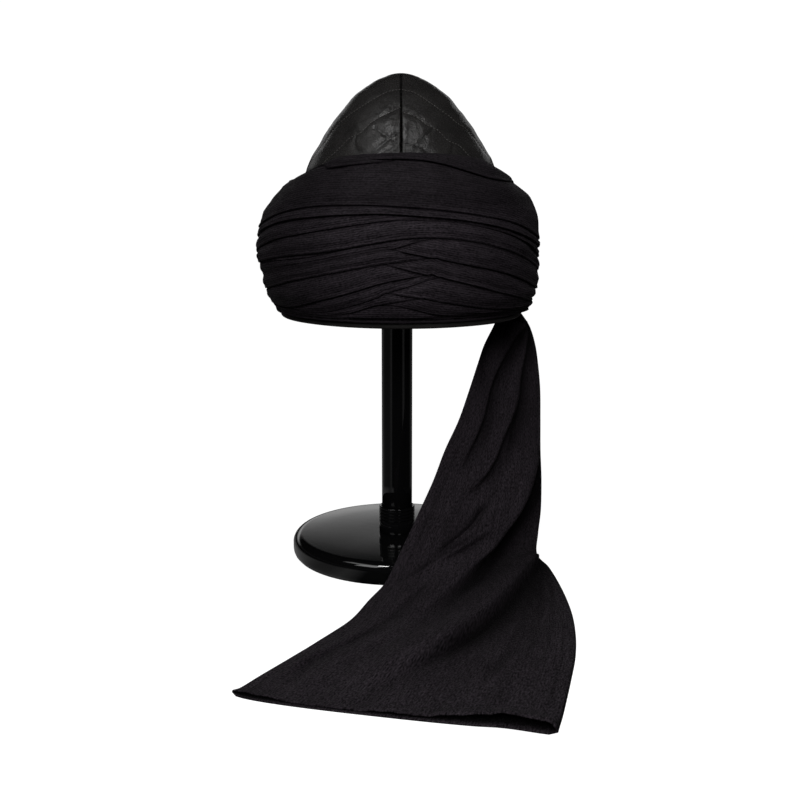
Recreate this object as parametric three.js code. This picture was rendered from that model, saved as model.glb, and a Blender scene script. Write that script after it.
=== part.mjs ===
// An ottoman turban on a display stand, in millimetres, +Z up.
// The front faces -Y and the origin is the middle of the stand's underside on the floor.
// Angles round the hat start at the front and grow towards +X.
import * as THREE from 'three';

// Clearances between pieces
const gap = 0.3;
const coverGap = 0.5; // wrap round the cap, whose panels already sit half a gap out

// Stand
const baseRadius = 86.5;
const baseHeight = 17.6;
const baseShoulder = 7;
const baseTuck = 2.2;
const poleRadius = 12.5;
const collarRadius = 14.8;
const collarHeight = 22;
const collarRings = 3;
const ringDepth = 0.5;
const restRadius = 40;
const restEdge = 4;

// Hat: heights from the floor, half-widths side to side
const hatShift = 3.1;
const ovalRatio = 1.04;
const rimHeight = 200.1;
const apexHeight = 387;
const rimHalf = 96;
const capInset = 5;
const leather = 2.4;
const seamDip = 1.2;
const bindingHeight = 4;
const bindingWidth = 7.4;

// Wrap
const wrapOut = 14;
const wrapHeight = 120.1;
const topWall = 2.6;
const edgeProud = 1.3;
const tuckDrop = 1.7;
const bandPuff = 1.5;
const foldStep = 1.3;
const rootAngle = 86; // where the tail leaves under the wrap
const rootSpread = 15;
const rootBulge = 5;

// Tail
const tailSide = 120;
const tailFront = 320;
const tailThick = 4;
const tailSwell = 4;
const tailRidge = 5;
const clothWall = 1;
const seamEdge = 2.2;
const mouthInset = 0.025;
const tailColumns = 18;
const cavityStart = 4;
const hemBow = 9;

const capBottom = rimHeight + bindingHeight + gap;
const capHeight = apexHeight - capBottom;
const capHalf = rimHalf - capInset;
const wrapHalf = rimHalf + wrapOut;

const leatherLook = new THREE.MeshStandardMaterial({ color: 0x161514, roughness: 0.5, metalness: 0 });
const clothLook = new THREE.MeshStandardMaterial({ color: 0x141414, roughness: 0.95, metalness: 0 });
const glossLook = new THREE.MeshStandardMaterial({ color: 0x060606, roughness: 0.12, metalness: 0 });

// Outline of the dome: shares of the cap's height down from the apex and of its half-width at the rim
const domeOutline = [
  { down: 0.000, out: 0.000 },
  { down: 0.006, out: 0.085 },
  { down: 0.018, out: 0.150 },
  { down: 0.041, out: 0.247 },
  { down: 0.067, out: 0.325 },
  { down: 0.102, out: 0.410 },
  { down: 0.154, out: 0.500 },
  { down: 0.215, out: 0.598 },
  { down: 0.287, out: 0.690 },
  { down: 0.368, out: 0.786 },
  { down: 0.460, out: 0.850 },
  { down: 0.610, out: 0.915 },
  { down: 0.820, out: 0.970 },
  { down: 1.000, out: 1.000 },
];

// Body of the wrap: shares of its height at that angle and of its half-width, on its two sides
const wrapOutline = [
  { up: 0.000, left: 0.888, right: 0.882 },
  { up: 0.025, left: 0.890, right: 0.889 },
  { up: 0.045, left: 0.904, right: 0.920 },
  { up: 0.090, left: 0.928, right: 0.945 },
  { up: 0.130, left: 0.949, right: 0.970 },
  { up: 0.200, left: 0.968, right: 0.980 },
  { up: 0.300, left: 0.986, right: 0.988 },
  { up: 0.420, left: 1.013, right: 0.990 },
  { up: 0.520, left: 1.012, right: 0.990 },
  { up: 0.600, left: 0.994, right: 0.981 },
  { up: 0.690, left: 0.972, right: 0.966 },
  { up: 0.770, left: 0.940, right: 0.933 },
  { up: 0.815, left: 0.916, right: 0.910 },
  { up: 0.860, left: 0.880, right: 0.864 },
  { up: 0.900, left: 0.850, right: 0.812 },
  { up: 0.940, left: 0.825, right: 0.780 },
  { up: 0.975, left: 0.785, right: 0.735 },
  { up: 1.000, left: 0.700, right: 0.700 },
];

// Angles at which the height of each fold line is given
const foldAngles = [-180, -90, -70, -50, -35, -20, -12, -4, 4, 12, 20, 35, 50, 70, 90, 180];

// Fold lines from the top edge to the bottom: heights as shares of the wrap's front height at those
// angles, and how deep the line is at the left, the front, the right and the back
const foldLines = [
  { name: 'top edge', left: 0, front: 0, right: 0, back: 0, rows: 0,
    up: [0.95, 0.865, 0.885, 0.94, 0.98, 0.996, 1.0, 1.0, 1.003, 1.003, 1.0, 0.99, 0.97, 0.92, 0.91, 0.97] },
  { name: 'inner turn', left: 0.3, front: 0.6, right: 0.6, back: 0.4, rows: 0,
    up: [0.89, 0.83, 0.86, 0.905, 0.925, 0.94, 0.955, 0.965, 0.96, 0.95, 0.93, 0.875, 0.84, 0.83, 0.82, 0.89] },
  { name: 'top band', left: 0.5, front: 0.4, right: 0.5, back: 0.5, rows: 3,
    up: [0.57, 0.54, 0.59, 0.653, 0.687, 0.695, 0.695, 0.69, 0.683, 0.675, 0.66, 0.627, 0.582, 0.503, 0.455, 0.57] },
  { name: 'thick fold', left: 0.9, front: 1.0, right: 0.9, back: 0.8, rows: 0,
    up: [0.51, 0.47, 0.53, 0.595, 0.624, 0.642, 0.645, 0.643, 0.637, 0.628, 0.616, 0.581, 0.53, 0.453, 0.403, 0.51] },
  { name: 'second band', left: 0.7, front: 0.5, right: 0.6, back: 0.7, rows: 1,
    up: [0.43, 0.37, 0.432, 0.503, 0.537, 0.578, 0.595, 0.61, 0.61, 0.606, 0.6, 0.561, 0.505, 0.403, 0.337, 0.43] },
  { name: 'left over right', left: 0.9, front: 0.7, right: 0.7, back: 0.7, rows: 1,
    up: [0.33, 0.286, 0.336, 0.378, 0.412, 0.45, 0.47, 0.49, 0.503, 0.509, 0.495, 0.455, 0.395, 0.305, 0.245, 0.33] },
  { name: 'first crossing', left: 0.9, front: 0.8, right: 1.0, back: 0.8, rows: 1,
    up: [0.24, 0.22, 0.265, 0.307, 0.349, 0.407, 0.43, 0.444, 0.42, 0.395, 0.364, 0.316, 0.26, 0.178, 0.128, 0.24] },
  { name: 'second crossing', left: 0.8, front: 0.8, right: 0.9, back: 0.7, rows: 1,
    up: [0.15, 0.11, 0.157, 0.22, 0.27, 0.32, 0.341, 0.362, 0.32, 0.281, 0.253, 0.19, 0.137, 0.075, 0.055, 0.15] },
  { name: 'left band', left: 0.8, front: 0.6, right: 0, back: 0.4, rows: 1,
    up: [0.09, 0.055, 0.056, 0.074, 0.124, 0.185, 0.22, 0.26, 0.3, 0.26, 0.235, 0.172, 0.12, 0.06, 0.045, 0.09] },
  { name: 'third crossing', left: 0.4, front: 0.8, right: 0.8, back: 0.3, rows: 1,
    up: [0.05, 0.04, 0.04, 0.04, 0.048, 0.102, 0.143, 0.196, 0.17, 0.14, 0.117, 0.078, 0.052, 0.04, 0.04, 0.05] },
  { name: 'lowest crossing', left: 0, front: 0.7, right: 0.5, back: 0, rows: 1,
    up: [0.03, 0.03, 0.03, 0.03, 0.034, 0.058, 0.102, 0.13, 0.095, 0.058, 0.046, 0.036, 0.033, 0.03, 0.03, 0.03] },
  { name: 'rim shadow', left: 1.0, front: 1.0, right: 1.0, back: 1.0, rows: 0,
    up: [0.022, 0.022, 0.022, 0.022, 0.026, 0.03, 0.032, 0.033, 0.032, 0.03, 0.028, 0.026, 0.023, 0.022, 0.022, 0.022] },
  { name: 'rim band', left: 0.3, front: 0.4, right: 0.3, back: 0.3, rows: 0,
    up: [0.01, 0.01, 0.01, 0.01, 0.012, 0.013, 0.013, 0.013, 0.013, 0.013, 0.013, 0.012, 0.01, 0.01, 0.01, 0.01] },
];

// Sections of the tail: its left edge and its right edge as shares of its reach to the side, its reach
// to the front and the rim's height, and shares of how thick it lies and how far its middle swells
const tailSections = [
  { left: [0.700, 0.037, 0.998], right: [0.842, 0.025, 0.998], thick: 3, swell: 0 },
  { left: [0.662, 0.016, 0.945], right: [0.904, 0.028, 0.942], thick: 2.75, swell: 0 },
  { left: [0.608, -0.009, 0.875], right: [0.939, 0.009, 0.870], thick: 2, swell: 0.25 },
  { left: [0.556, -0.034, 0.800], right: [0.957, -0.006, 0.790], thick: 1.5, swell: 0.5 },
  { left: [0.494, -0.066, 0.705], right: [0.967, -0.028, 0.695], thick: 1.15, swell: 0.5 },
  { left: [0.417, -0.105, 0.595], right: [0.963, -0.058, 0.580], thick: 1.05, swell: 0.75 },
  { left: [0.320, -0.144, 0.490], right: [0.958, -0.087, 0.470], thick: 1, swell: 0.75 },
  { left: [0.237, -0.183, 0.387], right: [0.958, -0.119, 0.360], thick: 1, swell: 1 },
  { left: [0.152, -0.222, 0.290], right: [0.948, -0.150, 0.250], thick: 1, swell: 1 },
  { left: [0.068, -0.256, 0.195], right: [0.925, -0.175, 0.165], thick: 1, swell: 1 },
  { left: [-0.010, -0.287, 0.110], right: [0.912, -0.203, 0.095], thick: 1, swell: 1 },
  { left: [-0.077, -0.323, 0.042], right: [0.979, -0.244, 0.062], thick: 0.9, swell: 0.75 },
  { left: [-0.167, -0.378, 0.005], right: [1.030, -0.331, 0.025], thick: 0.8, swell: 0.5 },
  { left: [-0.263, -0.484, 0], right: [1.044, -0.441, 0.004], thick: 0.75, swell: 0 },
  { left: [-0.425, -0.594, 0], right: [1.017, -0.559, 0], thick: 0.75, swell: 0 },
  { left: [-0.583, -0.692, 0], right: [0.969, -0.669, 0], thick: 0.75, swell: 0 },
  { left: [-0.703, -0.766, 0], right: [0.898, -0.781, 0], thick: 0.75, swell: 0 },
  { left: [-0.779, -0.811, 0], right: [0.813, -0.906, 0], thick: 0.75, swell: 0 },
  { left: [-0.823, -0.831, 0], right: [0.750, -0.994, 0], thick: 0.75, swell: 0 },
];

// Long folds of the tail: section where each starts and ends, share across the sleeve at those
// sections, shares of the ridge's height for its crease and for the ridge on the crease's left, and
// the shares of the sleeve over which the ridge falls to its steep right and to its left
const tailFolds = [
  { from: 0.5, to: 6.5, start: 0.66, end: 0.3, crease: 0.6, ridge: 0.5, steep: 0.1, slope: 0.14 },
  { from: 1.5, to: 8, start: 0.8, end: 0.42, crease: 0.7, ridge: 0.5, steep: 0.1, slope: 0.14 },
  { from: 6.6, to: 11, start: 0.54, end: 0.14, crease: 0.4, ridge: 0.4, steep: 0.1, slope: 0.15 },
  { from: 4.8, to: 13.5, start: 1.02, end: 0.32, crease: 0.3, ridge: 0.9, steep: 0.1, slope: 0.2 },
  { from: 8, to: 16, start: 1.05, end: 0.44, crease: 0.3, ridge: 1.4, steep: 0.1, slope: 0.22 },
  { from: 14, to: 19, start: 0.93, end: 0.95, crease: 0, ridge: 1.2, steep: 0.1, slope: 0.12 },
];

function mix(a, b, t) {
  return a + (b - a) * t;
}

function smooth(t) {
  const c = Math.min(1, Math.max(0, t));
  return c * c * (3 - 2 * c);
}

function lookUp(rows, from, to, value) {
  for (let i = 1; i < rows.length; i += 1) {
    if (value <= rows[i][from]) {
      const t = (value - rows[i - 1][from]) / (rows[i][from] - rows[i - 1][from]);
      return mix(rows[i - 1][to], rows[i][to], Math.max(0, t));
    }
  }
  return rows[rows.length - 1][to];
}

function radians(degrees) {
  return degrees * Math.PI / 180;
}

// A point of the hat at an angle, with a half-width and a height
function hatPoint(angle, half, height) {
  const a = radians(angle);
  return new THREE.Vector3(hatShift + half * Math.sin(a), -ovalRatio * half * Math.cos(a), height);
}

// Joins rows of points into one closed mesh; the rows close round on themselves
function loftGeometry(rows, ends) {
  const points = [];
  const index = [];
  const seen = new Map();
  const place = (p) => {
    const key = [p.x, p.y, p.z].map((n) => Math.round(n * 10000)).join(' ');
    if (!seen.has(key)) {
      seen.set(key, points.length / 3);
      points.push(p.x, p.y, p.z);
    }
    return seen.get(key);
  };
  const triangle = (a, b, c) => {
    if (a !== b && b !== c && a !== c) index.push(a, b, c);
  };
  const grid = rows.map((row) => row.map(place));
  const joinRows = (upper, lower) => {
    const n = upper.length;
    for (let i = 0; i < n; i += 1) {
      const j = (i + 1) % n;
      triangle(upper[i], lower[i], lower[j]);
      triangle(upper[i], lower[j], upper[j]);
    }
  };
  for (let r = 1; r < grid.length; r += 1) joinRows(grid[r - 1], grid[r]);
  if (ends === 'round') joinRows(grid[grid.length - 1], grid[0]);
  if (ends === 'flat') {
    const n = grid[0].length;
    const last = grid[grid.length - 1];
    for (let i = 0; i < n / 2 - 1; i += 1) {
      const k = n - 1 - i;
      triangle(grid[0][i], grid[0][i + 1], grid[0][k]);
      triangle(grid[0][i + 1], grid[0][k - 1], grid[0][k]);
      triangle(last[i], last[k], last[i + 1]);
      triangle(last[i + 1], last[k], last[k - 1]);
    }
  }
  const geometry = new THREE.BufferGeometry();
  geometry.setAttribute('position', new THREE.Float32BufferAttribute(points, 3));
  geometry.setIndex(index);
  geometry.computeVertexNormals();
  return geometry;
}

function turned(outline, segments) {
  const geometry = new THREE.LatheGeometry(outline.map(([r, z]) => new THREE.Vector2(r, z)), segments);
  geometry.rotateX(Math.PI / 2);
  return geometry;
}

function baseGeometry() {
  const outline = [[0, 0], [baseRadius - baseTuck, 0], [baseRadius - baseTuck * 0.3, 1.8], [baseRadius, 5]];
  for (let step = 0; step <= 4; step += 1) {
    const a = radians(step * 22.5);
    outline.push([
      baseRadius - baseShoulder + baseShoulder * Math.cos(a),
      baseHeight - baseShoulder + baseShoulder * Math.sin(a),
    ]);
  }
  outline.push([0, baseHeight]);
  return turned(outline, 48);
}

function collarGeometry() {
  const inner = poleRadius + gap;
  const foot = baseHeight + gap;
  const pitch = collarHeight / 2 / collarRings;
  const outline = [[inner, foot], [collarRadius, foot], [collarRadius, foot + collarHeight / 2]];
  for (let ring = 0; ring < collarRings; ring += 1) {
    const z = foot + collarHeight / 2 + ring * pitch;
    outline.push([collarRadius - ringDepth, z + pitch * 0.15], [collarRadius - ringDepth, z + pitch * 0.3]);
    outline.push([collarRadius, z + pitch * 0.45], [collarRadius, z + pitch * 0.97]);
  }
  outline.push([inner, foot + collarHeight - 0.2], [inner, foot]);
  return turned(outline, 24);
}

// Height of the dome's outer face at a distance from its axis
function domeHeight(half) {
  return apexHeight - capHeight * lookUp(domeOutline, 'out', 'down', half / capHalf);
}

function postGeometry() {
  const foot = baseHeight + gap;
  const top = [];
  for (let step = 6; step >= 0; step -= 1) {
    const r = restRadius * step / 6;
    const steeper = 1 + 0.8 * (r / restRadius) ** 2;
    top.push([r, domeHeight(r + hatShift + seamDip) - (leather + gap) * steeper]);
  }
  const edge = top[0][1] - restEdge;
  const outline = [[0, foot], [poleRadius, foot], [poleRadius, edge - 14], [restRadius - 1.5, edge], ...top];
  return turned(outline, 28);
}

// Outline points of the dome with their inward offsets
function domeRows() {
  return domeOutline.map((row, i) => {
    const before = domeOutline[Math.max(0, i - 1)];
    const after = domeOutline[Math.min(domeOutline.length - 1, i + 1)];
    const run = (after.out - before.out) * capHalf;
    const drop = (after.down - before.down) * capHeight;
    const length = Math.hypot(run, drop);
    const across = i === 0 ? 0 : drop / length;
    const inward = i === 0 ? 1 : run / length;
    const last = i === domeOutline.length - 1;
    return {
      half: row.out * capHalf,
      height: apexHeight - row.down * capHeight,
      innerHalf: row.out * capHalf - leather * (last ? 1 : across),
      innerHeight: apexHeight - row.down * capHeight - (last ? 0 : leather * inward),
    };
  });
}

// One quarter of the dome, with straight seam faces half a gap from the hat's two middle planes
function panelGeometry(sideX, sideY) {
  const steps = [0, 10, 20, 30, 40, 50, 60, 70, 80, 90];
  const flip = sideX * sideY > 0;
  const corner = (angle, half, height) => {
    const nearest = Math.min(angle, 90 - angle);
    const dipped = Math.max(0, half - seamDip * Math.exp(-((nearest / 7) ** 2)) * Math.min(1, half / 30));
    const x = gap / 2 + dipped * Math.sin(radians(angle));
    const y = gap / 2 + dipped * ovalRatio * Math.cos(radians(angle));
    return new THREE.Vector3(hatShift + sideX * x, sideY * y, height);
  };
  const rows = domeRows().map((row) => {
    const outer = steps.map((angle) => corner(angle, row.half, row.height));
    const inner = steps.map((angle) => corner(angle, row.innerHalf, row.innerHeight));
    const loop = [...outer, ...inner.reverse()];
    return flip ? [...loop].reverse() : loop;
  });
  return loftGeometry(rows, 'flat');
}

function bindingGeometry() {
  const inner = rimHalf - bindingWidth;
  const outline = [
    [inner, rimHeight + 0.8], [inner, rimHeight + bindingHeight], [rimHalf - 0.6, rimHeight + bindingHeight],
    [rimHalf, rimHeight + bindingHeight - 0.7], [rimHalf, rimHeight + 1], [rimHalf - 1, rimHeight],
    [inner + 0.8, rimHeight],
  ];
  const rows = outline.map(([half, height]) => {
    const row = [];
    for (let angle = 0; angle < 360; angle += 10) row.push(hatPoint(angle, half, height));
    return row;
  });
  return loftGeometry(rows, 'round');
}

function foldHeight(line, angle) {
  const rows = foldAngles.map((a, i) => ({ angle: a, up: line.up[i] }));
  return capBottom + wrapHeight * lookUp(rows, 'angle', 'up', angle);
}

// Depth of a fold line round the hat, blended between its four named sides
function foldDepth(line, angle) {
  const side = angle < 0 ? line.left : line.right;
  const turn = Math.abs(angle);
  if (turn <= 60) return mix(line.front, side, smooth(turn / 60));
  return mix(side, line.back, smooth((turn - 60) / 90));
}

function wrapBody(angle, height, top) {
  const up = (height - capBottom) / (top - capBottom);
  const left = lookUp(wrapOutline, 'up', 'left', up);
  const right = lookUp(wrapOutline, 'up', 'right', up);
  const root = Math.exp(-(((angle - rootAngle) / rootSpread) ** 2)) * smooth((0.1 - up) / 0.08);
  return wrapHalf * mix(left, right, (1 + Math.sin(radians(angle))) / 2) + rootBulge * root;
}

function capOutside(height) {
  const rows = domeOutline.map((row) => ({ down: row.down * capHeight, out: row.out * capHalf }));
  return lookUp(rows, 'down', 'out', apexHeight - height);
}

// Outer and inner outline of the wrap at one angle, from its top edge down and back up inside
function wrapSection(angle) {
  const heights = foldLines.map((line) => foldHeight(line, angle));
  heights.push(capBottom);
  for (let i = heights.length - 2; i >= 0; i -= 1) {
    heights[i] = Math.max(heights[i], heights[i + 1] + foldStep);
  }
  const top = heights[0];
  const body = (z) => Math.max(wrapBody(angle, z, top), capOutside(z) + coverGap + topWall);
  const section = [[capOutside(top) + coverGap + topWall * 0.5, top]];
  section.push([body(top - 1.2), top - 1.2]);
  for (let i = 1; i < foldLines.length; i += 1) {
    const line = foldLines[i];
    const depth = foldDepth(line, angle);
    const above = heights[i - 1];
    const half = foldStep * 0.24;
    const tuckAbove = i === 1 ? above - 1.2 : above - half;
    const edge = heights[i] + half;
    const puff = bandPuff * Math.min(1, (tuckAbove - edge) / 14);
    const count = foldLines[i].rows;
    for (let n = 1; n <= count; n += 1) {
      const t = n / (count + 1);
      const z = mix(tuckAbove, edge, t);
      section.push([body(z) + puff * 4 * t * (1 - t) * (count > 1 ? 0.4 : 1), z]);
    }
    section.push([body(edge) + edgeProud * depth, edge]);
    section.push([body(heights[i] - half) - tuckDrop * depth * (i > 10 ? 0.5 : 1), heights[i] - half]);
  }
  section.push([body(capBottom) - 0.4, capBottom]);
  const inside = domeRows().filter((row) => row.height > capBottom + 1 && row.height < 310).reverse();
  section.push([capOutside(capBottom) + coverGap, capBottom]);
  for (const row of inside) section.push([capOutside(row.height) + coverGap, row.height]);
  const shelf = Math.min(318, top - 3);
  section.push([capOutside(shelf) + coverGap, shelf]);
  section.push([capOutside(top) + coverGap + 0.4, top - 0.5]);
  return section;
}

function wrapGeometry() {
  const angles = [];
  for (let angle = -90; angle < 90; angle += 5) angles.push(angle);
  for (let angle = 90; angle < 270; angle += 10) angles.push(angle > 180 ? angle - 360 : angle);
  const sections = angles.map((angle) => wrapSection(angle).map(([half, z]) => hatPoint(angle, half, z)));
  const rows = sections[0].map((_, r) => sections.map((section) => section[r]));
  return loftGeometry(rows, 'round');
}

// Rise of the tail's long folds at a section and a share across
function tailRise(section, across) {
  let rise = 0;
  for (const fold of tailFolds) {
    const t = (section - fold.from) / (fold.to - fold.from);
    if (t <= 0 || t >= 1) continue;
    const strength = smooth(t * 4) * (fold.crease ? smooth((1 - t) * 3) : 1);
    const off = across - mix(fold.start, fold.end, t);
    const crest = off + fold.steep * 1.3;
    const width = crest > 0 ? fold.steep : fold.slope;
    const ridge = fold.ridge * Math.exp(-((crest / width) ** 2));
    const crease = fold.crease * Math.exp(-((off / fold.steep) ** 2));
    rise += tailRidge * strength * (ridge - crease);
  }
  return rise * smooth(Math.min(across, 1 - across) / 0.1);
}

function tailPoint([side, front, height]) {
  return new THREE.Vector3(side * tailSide, front * tailFront, height * rimHeight);
}

// One section of the tail's sleeve: its outer loop and its inner loop
function tailLoops(section) {
  const at = tailSections[section];
  const left = tailPoint(at.left);
  const right = tailPoint(at.right);
  const centre = (i) => {
    const row = tailSections[Math.min(tailSections.length - 1, Math.max(0, i))];
    return tailPoint(row.left).add(tailPoint(row.right)).multiplyScalar(0.5);
  };
  const along = centre(section + 1).sub(centre(section - 1)).normalize();
  const width = right.clone().sub(left);
  const normal = along.clone().cross(width).normalize();
  const floor = smooth((section - 9) / 3);
  const bow = hemBow * smooth((section - 14) / 4);
  if (section === 0) normal.setZ(0).normalize();
  if (floor === 1) normal.set(0, 0, 1);
  const points = (start, end, inset) => {
    const front = [];
    const back = [];
    for (let i = 0; i <= tailColumns; i += 1) {
      const u = mix(start, end, i / tailColumns);
      const rise = tailRise(section, u) + at.swell * tailSwell * Math.sin(Math.PI * u);
      const rim = smooth(Math.min(u, 1 - u) / 0.07);
      const thick = mix(seamEdge, at.thick * tailThick, rim);
      const low = (1 - floor) * (rise - thick / 2);
      const high = Math.max((1 - floor) * (rise - thick / 2) + thick + floor * rise, low + seamEdge + 0.3 * rim);
      const mid = left.clone().addScaledVector(width, u).addScaledVector(along, bow * Math.sin(Math.PI * u ** 0.45));
      front.push(mid.clone().addScaledVector(normal, high - inset));
      back.push(mid.clone().addScaledVector(normal, low + inset));
    }
    return [...front, ...back.reverse()];
  };
  return { outer: points(0, 1, 0), inner: points(mouthInset, 1 - mouthInset, clothWall) };
}

function tailGeometry() {
  const loops = tailSections.map((_, i) => tailLoops(i));
  const outside = loops.map((loop) => loop.outer);
  const inside = loops.slice(cavityStart).map((loop) => loop.inner).reverse();
  return loftGeometry([...outside, ...inside], 'flat');
}

function add(group, name, geometry, look) {
  const mesh = new THREE.Mesh(geometry, look);
  mesh.name = name;
  group.add(mesh);
}

const group = new THREE.Group();
group.name = 'ottoman_turban_on_stand';
add(group, 'stand_base', baseGeometry(), glossLook);
add(group, 'stand_collar', collarGeometry(), glossLook);
add(group, 'stand_post', postGeometry(), glossLook);
add(group, 'cap_front_left', panelGeometry(-1, -1), leatherLook);
add(group, 'cap_front_right', panelGeometry(1, -1), leatherLook);
add(group, 'cap_back_left', panelGeometry(-1, 1), leatherLook);
add(group, 'cap_back_right', panelGeometry(1, 1), leatherLook);
add(group, 'edge_binding', bindingGeometry(), leatherLook);
add(group, 'turban_wrap', wrapGeometry(), clothLook);
add(group, 'tail', tailGeometry(), clothLook);

export default group;
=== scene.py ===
"""Looks of an ottoman turban on its stand: quilted leather cap, wound crepe ring, sewn tail, gloss stand."""
import math

import bmesh
import bpy
import numpy as np
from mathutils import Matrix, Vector, noise


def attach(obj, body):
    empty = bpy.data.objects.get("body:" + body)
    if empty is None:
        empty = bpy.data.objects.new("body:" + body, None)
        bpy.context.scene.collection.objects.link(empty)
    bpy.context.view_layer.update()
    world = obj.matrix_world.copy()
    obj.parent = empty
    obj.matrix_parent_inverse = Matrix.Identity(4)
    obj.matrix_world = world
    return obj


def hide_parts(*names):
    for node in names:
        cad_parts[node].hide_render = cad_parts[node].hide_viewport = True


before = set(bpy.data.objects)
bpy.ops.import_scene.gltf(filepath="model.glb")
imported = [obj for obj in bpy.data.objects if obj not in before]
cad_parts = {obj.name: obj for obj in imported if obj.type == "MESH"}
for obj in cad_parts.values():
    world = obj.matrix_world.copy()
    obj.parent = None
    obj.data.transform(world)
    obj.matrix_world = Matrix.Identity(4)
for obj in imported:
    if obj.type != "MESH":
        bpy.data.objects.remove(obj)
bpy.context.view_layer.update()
scene = bpy.context.scene
MM = 0.001

# Named sizes in millimetres, as in the part's source
BASE_RADIUS = 86.5
BASE_HEIGHT = 17.6
BASE_SHOULDER = 7.0
BASE_TUCK = 2.2
POLE_RADIUS = 12.5
COLLAR_RADIUS = 14.8
COLLAR_HEIGHT = 22.0
COLLAR_RINGS = 4
RING_DEPTH = 0.45
REST_RADIUS = 40.0
REST_EDGE = 4.0
GAP = 0.3
HAT_SHIFT = 3.1
OVAL_RATIO = 1.04
RIM_HEIGHT = 200.1
APEX_HEIGHT = 387.0
RIM_HALF = 96.0
CAP_HALF = 91.0
LEATHER = 2.2
SEAM_DIP = 1.5
SEAM_SOFT = 0.45
BINDING_HEIGHT = 4.0
BINDING_WIDTH = 7.4
WRAP_HALF = 110.8
WRAP_HEIGHT = 120.1
TOP_WALL = 2.6
COVER_GAP = 0.5
TAIL_SIDE = 120.0
TAIL_FRONT = 320.0
TAIL_THICK = 4.0
TAIL_SWELL = 4.0
CAP_BOTTOM = RIM_HEIGHT + BINDING_HEIGHT + GAP
CAP_HEIGHT = APEX_HEIGHT - CAP_BOTTOM


# Shape helpers

def table(columns, *rows):
    """Rows of a table by the names of its columns, which are given once."""
    return [dict(zip(columns.split(), row)) for row in rows]


def smooth(t):
    t = np.clip(t, 0.0, 1.0)
    return t * t * (3 - 2 * t)


def mix(a, b, t):
    return a + (b - a) * t


def bell(distance, width):
    return np.exp(-((distance / width) ** 2))


def through(points, x):
    """Smooth curve through given points (x, y), flat beyond its ends."""
    xs, ys = (np.array(column, float) for column in zip(*points))
    if len(xs) == 2:
        return np.interp(x, xs, ys)
    slope = np.gradient(ys, xs)
    x = np.clip(x, xs[0], xs[-1])
    i = np.clip(np.searchsorted(xs, x, side="right") - 1, 0, len(xs) - 2)
    step = xs[i + 1] - xs[i]
    t = (x - xs[i]) / step
    keep = (1 + 2 * t) * (1 - t) ** 2 * ys[i] + t * t * (3 - 2 * t) * ys[i + 1]
    return keep + t * (1 - t) ** 2 * step * slope[i] - t * t * (1 - t) * step * slope[i + 1]


def roughen(x, y, seed):
    """Smooth noise between about -1 and 1 at each pair of coordinates."""
    x, y = np.broadcast_arrays(x, y)
    flat = [noise.noise(Vector((a, b, seed))) for a, b in zip(x.ravel(), y.ravel())]
    return np.array(flat).reshape(x.shape) * 1.6


def run_along(path):
    """Length of a path from its start to each of its points."""
    return np.concatenate([[0], np.cumsum(np.linalg.norm(np.diff(path, axis=0), axis=1))])


def places_along(path, lengths):
    """Points of a path at lengths from its start."""
    return np.stack([np.interp(lengths, run_along(path), path[:, i]) for i in range(3)], axis=-1)


# Piece helpers

def finish_piece(bm, name, material, replaced=(), seam_free=True):
    """Turns a bmesh in metres into a smooth piece that rides on the row's one body."""
    if seam_free:
        bmesh.ops.remove_doubles(bm, verts=bm.verts, dist=1e-6)
        bmesh.ops.dissolve_degenerate(bm, edges=bm.edges, dist=1e-7)
    for face in bm.faces:
        face.smooth = True
    mesh = bpy.data.meshes.new(name)
    bm.to_mesh(mesh)
    bm.free()
    mesh.materials.append(material)
    piece = bpy.data.objects.new(name, mesh)
    scene.collection.objects.link(piece)
    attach(piece, "root")
    if replaced:
        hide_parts(*replaced)
    return piece


def shaped_grid(places, weave=None, outward=None, painted_shade=0.0, wall=None):
    """A grid laid on places[row, column] in millimetres, with weave coordinates in metres as its UV map,
    as a float attribute the painted shade each place gets, from 0 to 1, and in its first vertex group the
    share of the full thickness its wall has there."""
    rows, columns = places.shape[0] - 1, places.shape[1] - 1
    bm = bmesh.new()
    uv = bm.loops.layers.uv.new("weave")
    bmesh.ops.create_grid(bm, x_segments=columns, y_segments=rows, size=0.5, calc_uvs=True)

    def cell(vert):
        return round((vert.co.y + 0.5) * rows), round((vert.co.x + 0.5) * columns)

    if weave is not None:
        threads = weave.tolist()
        for face in bm.faces:
            for loop in face.loops:
                row, column = cell(loop.vert)
                loop[uv].uv = threads[row][column]
    # Float attribute holding the painted shade each place gets
    depth = bm.verts.layers.float.new("painted_shade")
    shares = bm.verts.layers.deform.new() if wall is not None else None
    shade_amount = (painted_shade + 0 * places[..., 0]).tolist()
    spots = (places * MM).tolist()
    for vert in bm.verts:
        row, column = cell(vert)
        vert.co = spots[row][column]
        vert[depth] = shade_amount[row][column]
        if wall is not None:
            vert[shares][0] = float(wall[row, column])
    if outward is not None:
        face = max(bm.faces, key=lambda f: f.calc_center_median().dot(Vector(outward)))
        face.normal_update()
        if face.normal.dot(Vector(outward)) < 0:
            bmesh.ops.reverse_faces(bm, faces=bm.faces)
    return bm


def turned(outline, steps):
    """A closed outline of (radius, height) in millimetres, spun round the pole's axis."""
    bm = bmesh.new()
    verts = [bm.verts.new((r * MM, 0, z * MM)) for r, z in outline]
    edges = [bm.edges.new(pair) for pair in zip(verts, verts[1:])]
    bmesh.ops.spin(bm, geom=verts + edges, cent=(0, 0, 0), axis=(0, 0, 1), angle=math.tau,
                   steps=steps, use_merge=True)
    bmesh.ops.remove_doubles(bm, verts=bm.verts, dist=1e-6)
    bmesh.ops.recalc_face_normals(bm, faces=bm.faces)
    return bm


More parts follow.
